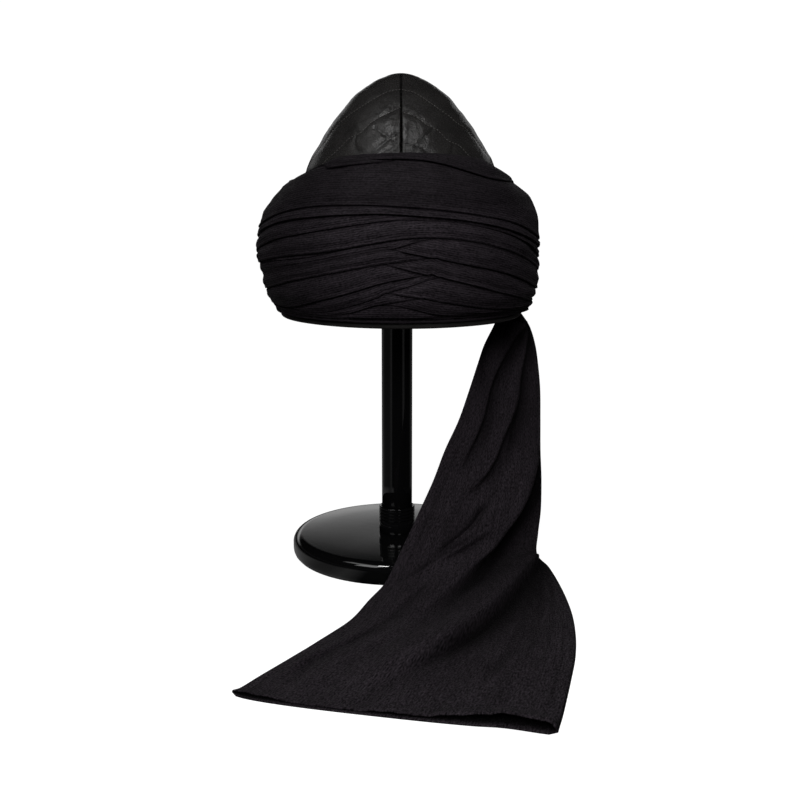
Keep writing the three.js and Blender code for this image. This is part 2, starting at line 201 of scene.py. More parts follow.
def arc(centre, radius, start, end, steps):
    """Points of a round corner in an outline, angles in degrees from the outward direction."""
    turns = [math.radians(mix(start, end, i / steps)) for i in range(steps + 1)]
    return [(centre[0] + radius * math.cos(a), centre[1] + radius * math.sin(a)) for a in turns]


def add_wall(piece, name, thickness, **values):
    """Gives a sheet its thickness in millimetres, inwards."""
    modifier = piece.modifiers.new(name, "SOLIDIFY")
    modifier.thickness = thickness * MM
    modifier.offset = -1.0
    for key, value in values.items():
        setattr(modifier, key, value)


# Material helpers

def plug(tree, target, sources):
    """Sets or links a node's sockets: {name or number: a number, a colour or another node's output}."""
    for socket, source in sources.items():
        if isinstance(source, bpy.types.NodeSocket):
            tree.links.new(source, target.inputs[socket])
        else:
            target.inputs[socket].default_value = source


def node(tree, kind, sources=None, **options):
    made = tree.nodes.new(kind)
    for key, value in options.items():
        setattr(made, key, value)
    plug(tree, made, sources or {})
    return made


def math_node(tree, operation, *terms, clamp=False):
    made = node(tree, "ShaderNodeMath", dict(enumerate(terms)), operation=operation, use_clamp=clamp)
    return made.outputs[0]


def mixed(tree, factor, low, high):
    """Colour between two, each a given colour or an output, by a factor output."""
    low, high = ((*c, 1) if isinstance(c, tuple) else c for c in (low, high))
    return node(tree, "ShaderNodeMix", {0: factor, 6: low, 7: high}, data_type="RGBA").outputs[2]


def noise_at(tree, place, scale, detail):
    return node(tree, "ShaderNodeTexNoise", {"Vector": place, "Scale": scale, "Detail": detail}).outputs[0]


def noise_drawn_out(tree, weave, scales, detail):
    """Noise on the weave's coordinates, with a scale along each of them."""
    sources = {0: weave, 1: (*scales, 1.0)}
    stretched = node(tree, "ShaderNodeVectorMath", sources, operation="MULTIPLY").outputs[0]
    return noise_at(tree, stretched, 1.0, detail)


def both_ways(tree, value, strength):
    """A noise output made to run both ways from 0, times a strength."""
    return math_node(tree, "MULTIPLY", math_node(tree, "SUBTRACT", value, 0.5), strength)


def bumps(tree, height, strength, distance):
    sources = {"Height": height, "Strength": strength, "Distance": distance}
    return node(tree, "ShaderNodeBump", sources).outputs[0]


def object_places(tree):
    return node(tree, "ShaderNodeTexCoord").outputs["Object"]


def group(name, inputs, outputs):
    """An empty node group with vector inputs, where no default is given, float inputs and float outputs."""
    tree = bpy.data.node_groups.new(name, "ShaderNodeTree")
    for label, default in inputs.items():
        kind = "NodeSocketVector" if default is None else "NodeSocketFloat"
        socket = tree.interface.new_socket(name=label, in_out="INPUT", socket_type=kind)
        if default is not None:
            socket.default_value = default
    for label in outputs:
        tree.interface.new_socket(name=label, in_out="OUTPUT", socket_type="NodeSocketFloat")
    given = tree.nodes.new("NodeGroupInput")
    return tree, [given.outputs[i] for i in range(len(inputs))], tree.nodes.new("NodeGroupOutput")


def use_group(tree, source, sources):
    made = tree.nodes.new("ShaderNodeGroup")
    made.node_tree = source
    plug(tree, made, sources)
    return made


def ribbed_crepe_group():
    """Fine ribs along the weave's first coordinate, with the crinkle of twisted crepe yarn."""
    tree, given, out = group("ribbed_crepe", {
        "Weave": None, "Rib Pitch": 0.00105, "Waver": 0.8, "Crinkle": 0.5, "Streaks": 1.0, "Rib": 0.3,
    }, ["Height", "Valley", "Mottle"])
    weave, pitch, waver, crinkle, streaks, strength = given
    drift = noise_drawn_out(tree, weave, (45.0, 160.0), 2.0)
    twist = noise_drawn_out(tree, weave, (460.0, 900.0), 3.0)
    patch = noise_drawn_out(tree, weave, (22.0, 55.0), 3.0)
    streak = noise_drawn_out(tree, weave, (70.0, 360.0), 3.0)
    across = node(tree, "ShaderNodeSeparateXYZ", {0: weave}).outputs[1]
    turn = math_node(tree, "MULTIPLY", math_node(tree, "DIVIDE", across, pitch), math.tau)
    bend = both_ways(tree, drift, math_node(tree, "MULTIPLY", waver, 14.0))
    wave = math_node(tree, "SINE", math_node(tree, "ADD", turn, bend))
    rib = math_node(tree, "MULTIPLY_ADD", wave, strength, 0.5)
    crinkled = both_ways(tree, twist, math_node(tree, "MULTIPLY", crinkle, 3.4))
    height = math_node(tree, "ADD", math_node(tree, "ADD", rib, crinkled), both_ways(tree, streak, streaks))
    valley = math_node(tree, "SUBTRACT", 1.0, height, clamp=True)
    plug(tree, out, {"Height": height, "Valley": valley, "Mottle": patch})
    return tree


def leather_grain_group():
    """Pebbled leather: closed cells with fine creases between them, and broad soft variation."""
    tree, given, out = group("leather_grain", {"Place": None, "Cells": 900.0, "Softness": 0.5},
                             ["Height", "Crease", "Mottle"])
    place, cells, softness = given
    pebble = node(tree, "ShaderNodeTexVoronoi", feature="SMOOTH_F1")
    plug(tree, pebble, {"Vector": place, "Scale": cells, "Smoothness": softness})
    dome = math_node(tree, "SUBTRACT", 1.0, pebble.outputs["Distance"])
    height = math_node(tree, "MULTIPLY_ADD", noise_at(tree, place, 1500.0, 3.0), 0.35, dome)
    crease = math_node(tree, "MULTIPLY_ADD", pebble.outputs["Distance"], 2.2, -0.9, clamp=True)
    plug(tree, out, {"Height": height, "Crease": crease, "Mottle": noise_at(tree, place, 60.0, 4.0)})
    return tree


def fine_dust_group():
    """Sparse specks of dust and lint, as a mask."""
    tree, given, out = group("fine_dust", {"Place": None, "Size": 700.0, "Amount": 0.3}, ["Mask"])
    place, size, amount = given
    specks = node(tree, "ShaderNodeTexVoronoi", {"Vector": place, "Scale": size})
    dot = math_node(tree, "LESS_THAN", specks.outputs["Distance"], math_node(tree, "MULTIPLY", amount, 0.3))
    some = math_node(tree, "GREATER_THAN", noise_at(tree, place, 35.0, 3.0), 0.52)
    plug(tree, out, {"Mask": math_node(tree, "MULTIPLY", dot, some)})
    return tree


def material(name):
    made = bpy.data.materials.new(name)
    made.use_nodes = True
    return made, made.node_tree, made.node_tree.nodes["Principled BSDF"]


PAINTED_SHADE_LEVEL = 0.07    # brightness of the painted shade at its darkest, of the cloth's or leather's lightest


def with_painted_shade(tree, colour, high):
    """The colour with painted shade: darker by the piece's own attribute of how much shade is painted at each
    place.
    """
    shade_amount = node(tree, "ShaderNodeAttribute", attribute_name="painted_shade").outputs["Fac"]
    return mixed(tree, shade_amount, colour, tuple(c * PAINTED_SHADE_LEVEL for c in high))


def dusted(tree, colour, dust, size, amount, share):
    specks = use_group(tree, FINE_DUST, {"Place": object_places(tree), "Size": size, "Amount": amount})
    return mixed(tree, math_node(tree, "MULTIPLY", specks.outputs[0], share), colour, dust)


def crepe(name, pitch, rib_height, lightest, streaks, crinkle, rib):
    made, tree, surface = material(name)
    weave = node(tree, "ShaderNodeUVMap", uv_map="weave").outputs[0]
    ribs = use_group(tree, RIBBED_CREPE, {"Weave": weave, "Rib Pitch": pitch, "Waver": 0.35,
                                          "Crinkle": crinkle, "Streaks": streaks, "Rib": rib})
    high = tuple(lightest * c for c in (1.09, 0.9, 1.09))
    low = tuple(c * 0.16 for c in high)
    # Painted shade of the weave's fine relief: darker down in the rib valleys and crinkles; broad patches
    # vary the tone
    weave_relief_shade = math_node(tree, "MULTIPLY_ADD", ribs.outputs["Height"], 0.72, 0.11)
    patchy = math_node(tree, "MULTIPLY_ADD", ribs.outputs["Mottle"], 0.9, 0.55)
    cloth = mixed(tree, math_node(tree, "MULTIPLY", weave_relief_shade, patchy, clamp=True), low, high)
    # Painted shade from the piece's attribute, then real dust specks
    cloth = dusted(tree, with_painted_shade(tree, cloth, high), (0.06, 0.058, 0.06), 420.0, 0.22, 0.35)
    plug(tree, surface, {
        "Base Color": cloth, "Roughness": math_node(tree, "MULTIPLY_ADD", ribs.outputs["Valley"], 0.25, 0.56),
        "Specular IOR Level": 0.08, "Sheen Weight": 0.008, "Sheen Roughness": 0.4,
        "Normal": bumps(tree, ribs.outputs["Height"], 1.0, rib_height),
    })
    return made


def leather(name, cells, shine):
    made, tree, surface = material(name)
    grain = use_group(tree, LEATHER_GRAIN, {"Place": object_places(tree), "Cells": cells, "Softness": 0.45})
    hide = mixed(tree, grain.outputs["Mottle"], (0.0105, 0.0101, 0.01), (0.03, 0.0284, 0.0276))
    # Painted shade in the seams and grooves from the piece's attribute, then real dust specks
    hide = dusted(tree, with_painted_shade(tree, hide, (0.02, 0.02, 0.02)), (0.08, 0.078, 0.075), 520.0, 0.2, 0.3)
    rough = math_node(tree, "MULTIPLY_ADD", grain.outputs["Mottle"], 0.2, shine)
    plug(tree, surface, {
        "Base Color": hide,
        "Roughness": math_node(tree, "MULTIPLY_ADD", grain.outputs["Crease"], 0.14, rough),
        "Specular IOR Level": 0.15, "Normal": bumps(tree, grain.outputs["Height"], 0.4, 0.0003),
    })
    return made


def thread(name, color, rough):
    made, tree, surface = material(name)
    twist = noise_at(tree, object_places(tree), 2600.0, 2.0)
    plug(tree, surface, {"Base Color": mixed(tree, twist, tuple(c * 0.5 for c in color), color),
                         "Roughness": rough, "Normal": bumps(tree, twist, 0.6, 0.0002)})
    return made


def gloss(name, color, rough):
    made, tree, surface = material(name)
    place = object_places(tree)
    smudge = noise_at(tree, place, 24.0, 4.0)
    plug(tree, surface, {
        "Base Color": dusted(tree, color, (0.12, 0.12, 0.12), 330.0, 0.13, 0.22),
        "Roughness": math_node(tree, "MULTIPLY_ADD", smudge, 0.07, rough),
        "Specular IOR Level": 0.5, "Coat Weight": 0.3, "Coat Roughness": 0.03,
        "Normal": bumps(tree, noise_at(tree, place, 170.0, 1.0), 0.02, 0.0003),
    })
    return made


RIBBED_CREPE = ribbed_crepe_group()
LEATHER_GRAIN = leather_grain_group()
FINE_DUST = fine_dust_group()
wrap_crepe = crepe("black_ribbed_crepe", 0.0016, 0.00034, 0.0395, 1.3, 0.75, 0.26)
tail_crepe = crepe("black_tail_crepe", 0.0017, 0.00045, 0.0425, 1.3, 1.25, 0.1)
quilted_leather = leather("black_quilted_leather", 850.0, 0.12)
edge_leather = leather("black_edge_leather", 1100.0, 0.3)
leather_thread = thread("waxed_quilting_thread", (0.115, 0.11, 0.104), 0.45)
cloth_thread = thread("matte_hem_thread", (0.02, 0.019, 0.02), 0.8)
stand_paint = gloss("black_gloss_paint", (0.0035, 0.0035, 0.0038), 0.035)


# Stand

def disc_foot():
    shoulder = (BASE_RADIUS - BASE_SHOULDER, BASE_HEIGHT - BASE_SHOULDER)
    outline = [(0, 0.8), (BASE_RADIUS - 9, 0.8), (BASE_RADIUS - 8, 0)]
    outline += arc((BASE_RADIUS - BASE_TUCK - 1.4, 1.4), 1.4, -90, -20, 4)
    outline += [(BASE_RADIUS - 0.9, 2.4), (BASE_RADIUS - 0.25, 4.2), (BASE_RADIUS, 6.4)]
    outline += arc(shoulder, BASE_SHOULDER, 0, 90, 14)
    outline += [(BASE_RADIUS - BASE_SHOULDER - 1.2, BASE_HEIGHT + 0.02), (60, BASE_HEIGHT + 0.05)]
    outline += [(30, BASE_HEIGHT + 0.05), (16, BASE_HEIGHT), (0, BASE_HEIGHT)]
    return finish_piece(turned(outline, 160), "disc_foot", stand_paint, ["stand_base"])


def ringed_collar():
    inner, foot = POLE_RADIUS + GAP * 0.4, BASE_HEIGHT + 0.15
    top = BASE_HEIGHT + GAP + COLLAR_HEIGHT - 0.2
    outline = [(inner, foot), (COLLAR_RADIUS - 0.4, foot), (COLLAR_RADIUS, foot + 0.4)]
    half = foot + COLLAR_HEIGHT * 0.47
    pitch = (top - 0.8 - half) / COLLAR_RINGS
    for ring in range(COLLAR_RINGS):
        low = half + ring * pitch
        outline += [(COLLAR_RADIUS, low), (COLLAR_RADIUS - RING_DEPTH, low + pitch * 0.14)]
        outline += [(COLLAR_RADIUS - RING_DEPTH, low + pitch * 0.3),
                    (COLLAR_RADIUS - 0.1, low + pitch * 0.42)]
        outline += [(COLLAR_RADIUS + 0.05, low + pitch * 0.65)]
    outline += arc((COLLAR_RADIUS - 0.9, top - 0.9), 0.9, 0, 90, 5) + [(inner, top), (inner, foot)]
    return finish_piece(turned(outline, 128), "ringed_collar", stand_paint, ["stand_collar"])


def dome_height(half):
    rows = [(row["out"], row["down"]) for row in DOME_OUTLINE]
    return APEX_HEIGHT - CAP_HEIGHT * np.interp(half / CAP_HALF, *zip(*rows))


def pole_and_rest():
    top = []
    for step in range(12, -1, -1):
        r = REST_RADIUS * step / 12
        steeper = 1 + 0.8 * (r / REST_RADIUS) ** 2
        top.append((r, float(dome_height(r + HAT_SHIFT + 1.2)) - 2.7 * steeper))
    edge = top[0][1] - REST_EDGE
    outline = [(0, BASE_HEIGHT + 0.05), (POLE_RADIUS, BASE_HEIGHT + 0.05), (POLE_RADIUS, 60),
               (POLE_RADIUS, 130)]
    outline += [(POLE_RADIUS, edge - 16), (POLE_RADIUS + 1, edge - 14.5), (REST_RADIUS - 2, edge - 0.6)]
    outline += [(REST_RADIUS - 0.4, edge + 0.6)] + top
    return finish_piece(turned(outline, 112), "pole_and_rest", stand_paint, ["stand_post"])


# Cap: dome outline, quilting and the four panels

# Shares of the cap's height down from the apex and of its half-width at the rim
DOME_OUTLINE = table(
    "down out",
    (0.0, 0.0), (0.006, 0.085), (0.018, 0.15), (0.041, 0.247), (0.067, 0.325), (0.102, 0.41), (0.154, 0.5),
    (0.215, 0.598), (0.287, 0.69), (0.368, 0.786), (0.46, 0.85), (0.61, 0.915), (0.82, 0.97), (1.0, 1.0),
)

# Quilting lines of the two front panels: (angle from the front, height in millimetres) along each line
QUILTING = {
    "left": table(
        "line raised points",
        ("ogee", 1, [(0, 358.5), (10, 354.3), (18, 350.7), (24, 346.7), (30, 339.6), (36, 337), (39, 334.7),
         (45, 326.6), (51, 320.6), (60, 311), (70, 303)]),
        ("shoulder", 1, [(0, 372), (10, 371.6), (20, 369.4), (37, 361.8), (48, 355.9), (60, 346.9),
         (66, 336.6), (72, 326), (80, 316), (90, 309)]),
        ("leaf", 0, [(33, 338.8), (32, 332.5), (29, 327.3), (25, 324.8), (18, 322.5)]),
        ("lattice", 0, [(20, 343.5), (12, 338.4), (2, 332.1), (0, 330.8)]),
        ("lattice", 0, [(3, 339.2), (8, 335.1), (14, 329.1), (20, 324.1), (27, 317)]),
        ("lattice", 0, [(0, 341.5), (3, 339.2)]),
        ("lattice", 0, [(0, 330.8), (8, 325), (16, 318), (24, 310)]),
    ),
    "right": table(
        "line raised points",
        ("ogee", 1, [(0, 355), (4, 353.7), (13, 350.6), (19, 345.5), (27, 341.6), (33, 334), (41, 330.6),
         (45, 324.6), (52, 317), (60, 310), (70, 303)]),
        ("shoulder", 1, [(0, 372), (17, 369.3), (32, 361), (45, 352.6), (50, 347.5), (59, 343.7), (65, 336.6),
         (72, 326), (80, 316), (90, 309)]),
        ("leaf", 0, [(36, 333), (34, 329), (32, 325.3), (28, 321)]),
        ("lattice", 0, [(24, 343), (19, 339.4), (13, 333.2), (5, 325.5), (0, 320.5)]),
        ("lattice", 0, [(0, 334.3), (2, 333.1), (12, 329.1), (17, 323.5), (24, 316)]),
    ),
}
GROOVE = 0.5
GROOVE_WIDTH = 0.6
PUFF = 0.3
PUFF_WIDTH = 3.2
FRONT_SEAM = 0.08       # half of the slit between two panels, at the front
BACK_SEAM = 0.003       # and at the back, so that no light comes through under the apex
THREAD_RAISED = 0.88    # how much higher the stitches of a raised line lie
STITCHES_END = 300.0    # height below which the ring hides the quilting
QUILT_STITCH = {"long": 2.1, "wide": 0.62, "lift": -0.95}
HEM_STITCH = {"apart": 2.6, "long": 1.9, "wide": 0.45, "lift": 0.05}


def dome_half(down):
    """Half-width of the dome, smooth through the outline's points, at a share of its height down."""
    slant = [(math.sqrt(row["down"]), row["out"]) for row in DOME_OUTLINE]
    return CAP_HALF * through(slant, np.sqrt(down))


def dome_point(angle, down, side_x, side_y):
    """Places on the bare dome, with the seams dipping in at the hat's two middle planes."""
    half = dome_half(down)
    nearest = np.minimum(angle, 90 - angle)
    off = nearest * np.radians(1) * np.maximum(half, 4)
    dip = SEAM_DIP * bell(off, 0.55) + SEAM_SOFT * bell(off, 3.0)
    half = np.maximum(0, half - dip * np.minimum(1, (half / 48) ** 2))
    turn = np.radians(angle)
    apart = FRONT_SEAM if side_y < 0 else BACK_SEAM
    x = HAT_SHIFT + side_x * (apart + half * np.sin(turn))
    y = side_y * (FRONT_SEAM + half * OVAL_RATIO * np.cos(turn))
    return np.stack([x, y, APEX_HEIGHT - CAP_HEIGHT * down + 0 * half], axis=-1)


def quilting_path(points, side_x, side_y, spacing):
    """One quilting line laid on the dome as evenly spaced places."""
    share = np.linspace(0, 1, 90)
    marks = np.linspace(0, 1, len(points))
    angle = through([(m, p[0]) for m, p in zip(marks, points)], share)
    down = (APEX_HEIGHT - through([(m, p[1]) for m, p in zip(marks, points)], share)) / CAP_HEIGHT
    path = dome_point(np.clip(angle, 0, 90), down, side_x, side_y)
    length = run_along(path)[-1]
    return places_along(path, np.linspace(0, length, max(3, round(length / spacing))))


def surface_normals(places):
    down = np.gradient(places, axis=0)
    across = np.gradient(places, axis=1)
    normal = np.cross(across, down)
    return normal / np.maximum(np.linalg.norm(normal, axis=-1, keepdims=True), 1e-9)


def quilted_panel(side, side_x, side_y, name, replaced):
    columns, rows = 148, 164
    weave_relief_shade = np.linspace(0, 1, columns + 1)[None, :]
    angle = 90 * (weave_relief_shade - 0.075 * np.sin(2 * np.pi * weave_relief_shade))
    share = np.linspace(0, 1, rows + 1)[:, None]
    down = 0.42 * share ** 1.5 + 0.58 * share ** 5
    down = down / down[-1]
    bare = dome_point(angle + 0 * down, down + 0 * angle, side_x, side_y)
    apart = []
    for raised in (0, 1):
        dots = np.concatenate([quilting_path(line["points"], side_x, side_y, 1.0) for line in QUILTING[side]
                               if line["raised"] == raised])
        nearest = np.full(bare.shape[:2], 1e9)
        for start in range(0, len(dots), 40):
            away = np.linalg.norm(bare[:, :, None, :] - dots[None, None, start:start + 40, :], axis=-1)
            nearest = np.minimum(nearest, away.min(axis=-1))
        apart.append(nearest)
    lattice, outer = apart
    nearest = np.minimum(lattice, outer)
    half = dome_half(down)
    seam = np.minimum(angle, 90 - angle) * np.radians(1) * half
    puff = PUFF * (1 - bell(np.minimum(nearest, seam + 1.5), PUFF_WIDTH))
    puff = puff - GROOVE * np.maximum(bell(lattice, GROOVE_WIDTH), 0.4 * bell(outer, GROOVE_WIDTH))
    low = smooth((0.62 - down) / 0.12)
    creases = 0.22 * roughen(bare[..., 0] * 0.11, bare[..., 2] * 0.11 + 7 * side_x, 3.1 + side_y)
    creases += 0.1 * roughen(bare[..., 0] * 0.33, bare[..., 2] * 0.33, 9.7 + side_y)
    lift = (puff - 0.15) * low * smooth(down / 0.012) + creases * smooth(down / 0.02)
    normal = surface_normals(bare)
    outwards = np.sign(np.sum(normal * (bare - np.array([HAT_SHIFT, 0, 250.0])), axis=-1, keepdims=True))
    places = bare + normal * outwards * lift[..., None]
    places[0] = bare[0]
    middle = (side_x, side_y, 0.6)
    # Painted shade down the seams and in the lattice grooves, where the quilting lies low on the dome
    dark = np.maximum(0.92 * bell(seam, 0.8) * smooth(down / 0.01), 0.6 * bell(lattice, 0.85) * low)
    bm = shaped_grid(places, outward=middle, painted_shade=dark)
    piece = finish_piece(bm, name, quilted_leather, replaced)
    add_wall(piece, "leather_thickness", LEATHER)
    return [(quilting_path(line["points"], side_x, side_y, 3.1 - 0.6 * line["raised"]), line["raised"])
            for line in QUILTING[side]]


def stitches(paths, name, material_used, size):
    """Rows of short raised stitches, one small capsule between each two places of a path."""
    long, wide, lift = size["long"], size["wide"], size["lift"]
    bm = bmesh.new()
    for path, up in paths:
        for a, b, n in zip(path, path[1:], up):
            a, b, n = Vector(a), Vector(b), Vector(n)
            along = (b - a).normalized()
            middle = (a + b) / 2 + n * lift
            made = bmesh.ops.create_icosphere(bm, subdivisions=1, radius=1.0)
            side = along.cross(n).normalized()
            for vert in made["verts"]:
                x, y, z = vert.co
                vert.co = (middle + along * (x * long / 2) + side * (y * wide / 2) + n * (z * wide / 2)) * MM
    return finish_piece(bm, name, material_used, seam_free=False)


def quilted_cap():
    rows = []
    for side, side_x, side_y, place in (("left", -1, -1, "front_left"), ("right", 1, -1, "front_right"),
                                        ("right", -1, 1, "back_left"), ("left", 1, 1, "back_right")):
        for path, raised in quilted_panel(side, side_x, side_y, "quilted_" + place, ["cap_" + place]):
            keep = path[path[:, 2] > STITCHES_END]
            if len(keep) > 1:
                up = keep - np.array([HAT_SHIFT, 0, 270.0])
                up = up / np.linalg.norm(up, axis=1, keepdims=True)
                rows.append((keep + up * THREAD_RAISED * raised, up))
    stitches(rows, "quilting_thread", leather_thread, QUILT_STITCH)


def hat_ring(angle, half, height):
    """Places of the hat at angles from the front, with a half-width and a height."""
    turn = np.radians(angle)
    x = HAT_SHIFT + half * np.sin(turn)
    y = -OVAL_RATIO * half * np.cos(turn)
    return np.stack(np.broadcast_arrays(x, y, height), axis=-1)


def edge_strip():
    inner = RIM_HALF - BINDING_WIDTH
    low, high = RIM_HEIGHT, RIM_HEIGHT + BINDING_HEIGHT
    outline = [(inner, low + 1.6), (inner, high - 0.8), (inner + 0.8, high), (RIM_HALF - 1.2, high)]
    outline += arc((RIM_HALF - 1.2, high - 1.2), 1.2, 90, 0, 4)[1:]
    outline += [(RIM_HALF - 0.25, high - 2.0)]
    outline += arc((RIM_HALF - 1.5, low + 1.5), 1.5, 0, -90, 5)
    outline += arc((inner + 1.6, low + 1.6), 1.6, -90, -180, 5)
    columns = 300
    angle = np.linspace(0, 360, columns + 1)[None, :]
    half = np.array([p[0] for p in outline])[:, None]
    height = np.array([p[1] for p in outline])[:, None]
    waver = 0.22 * np.sin(np.radians(angle * 7)) * np.sin(np.radians(angle * 3 + 40))
    places = hat_ring(angle, half + waver, height + 0 * angle)
    bm = shaped_grid(places, outward=(0, -1, 0))
    return finish_piece(bm, "edge_strip", edge_leather, ["edge_binding"])


# Wound ring

# Body of the wrap: shares of its height at that angle and of its half-width, on its two sides
WRAP_OUTLINE = table(
    "up left right",
    (0.0, 0.9, 0.882), (0.025, 0.902, 0.889), (0.045, 0.916, 0.92), (0.09, 0.94, 0.945), (0.13, 0.961, 0.97),
    (0.2, 0.98, 0.98), (0.3, 0.998, 0.988), (0.42, 1.025, 0.99), (0.52, 1.024, 0.99), (0.6, 1.012, 0.981),
    (0.69, 0.996, 0.966), (0.77, 0.964, 0.933), (0.815, 0.93, 0.91), (0.86, 0.9, 0.864), (0.9, 0.864, 0.812),
    (0.94, 0.832, 0.78), (0.975, 0.785, 0.735), (1.0, 0.7, 0.7),
)

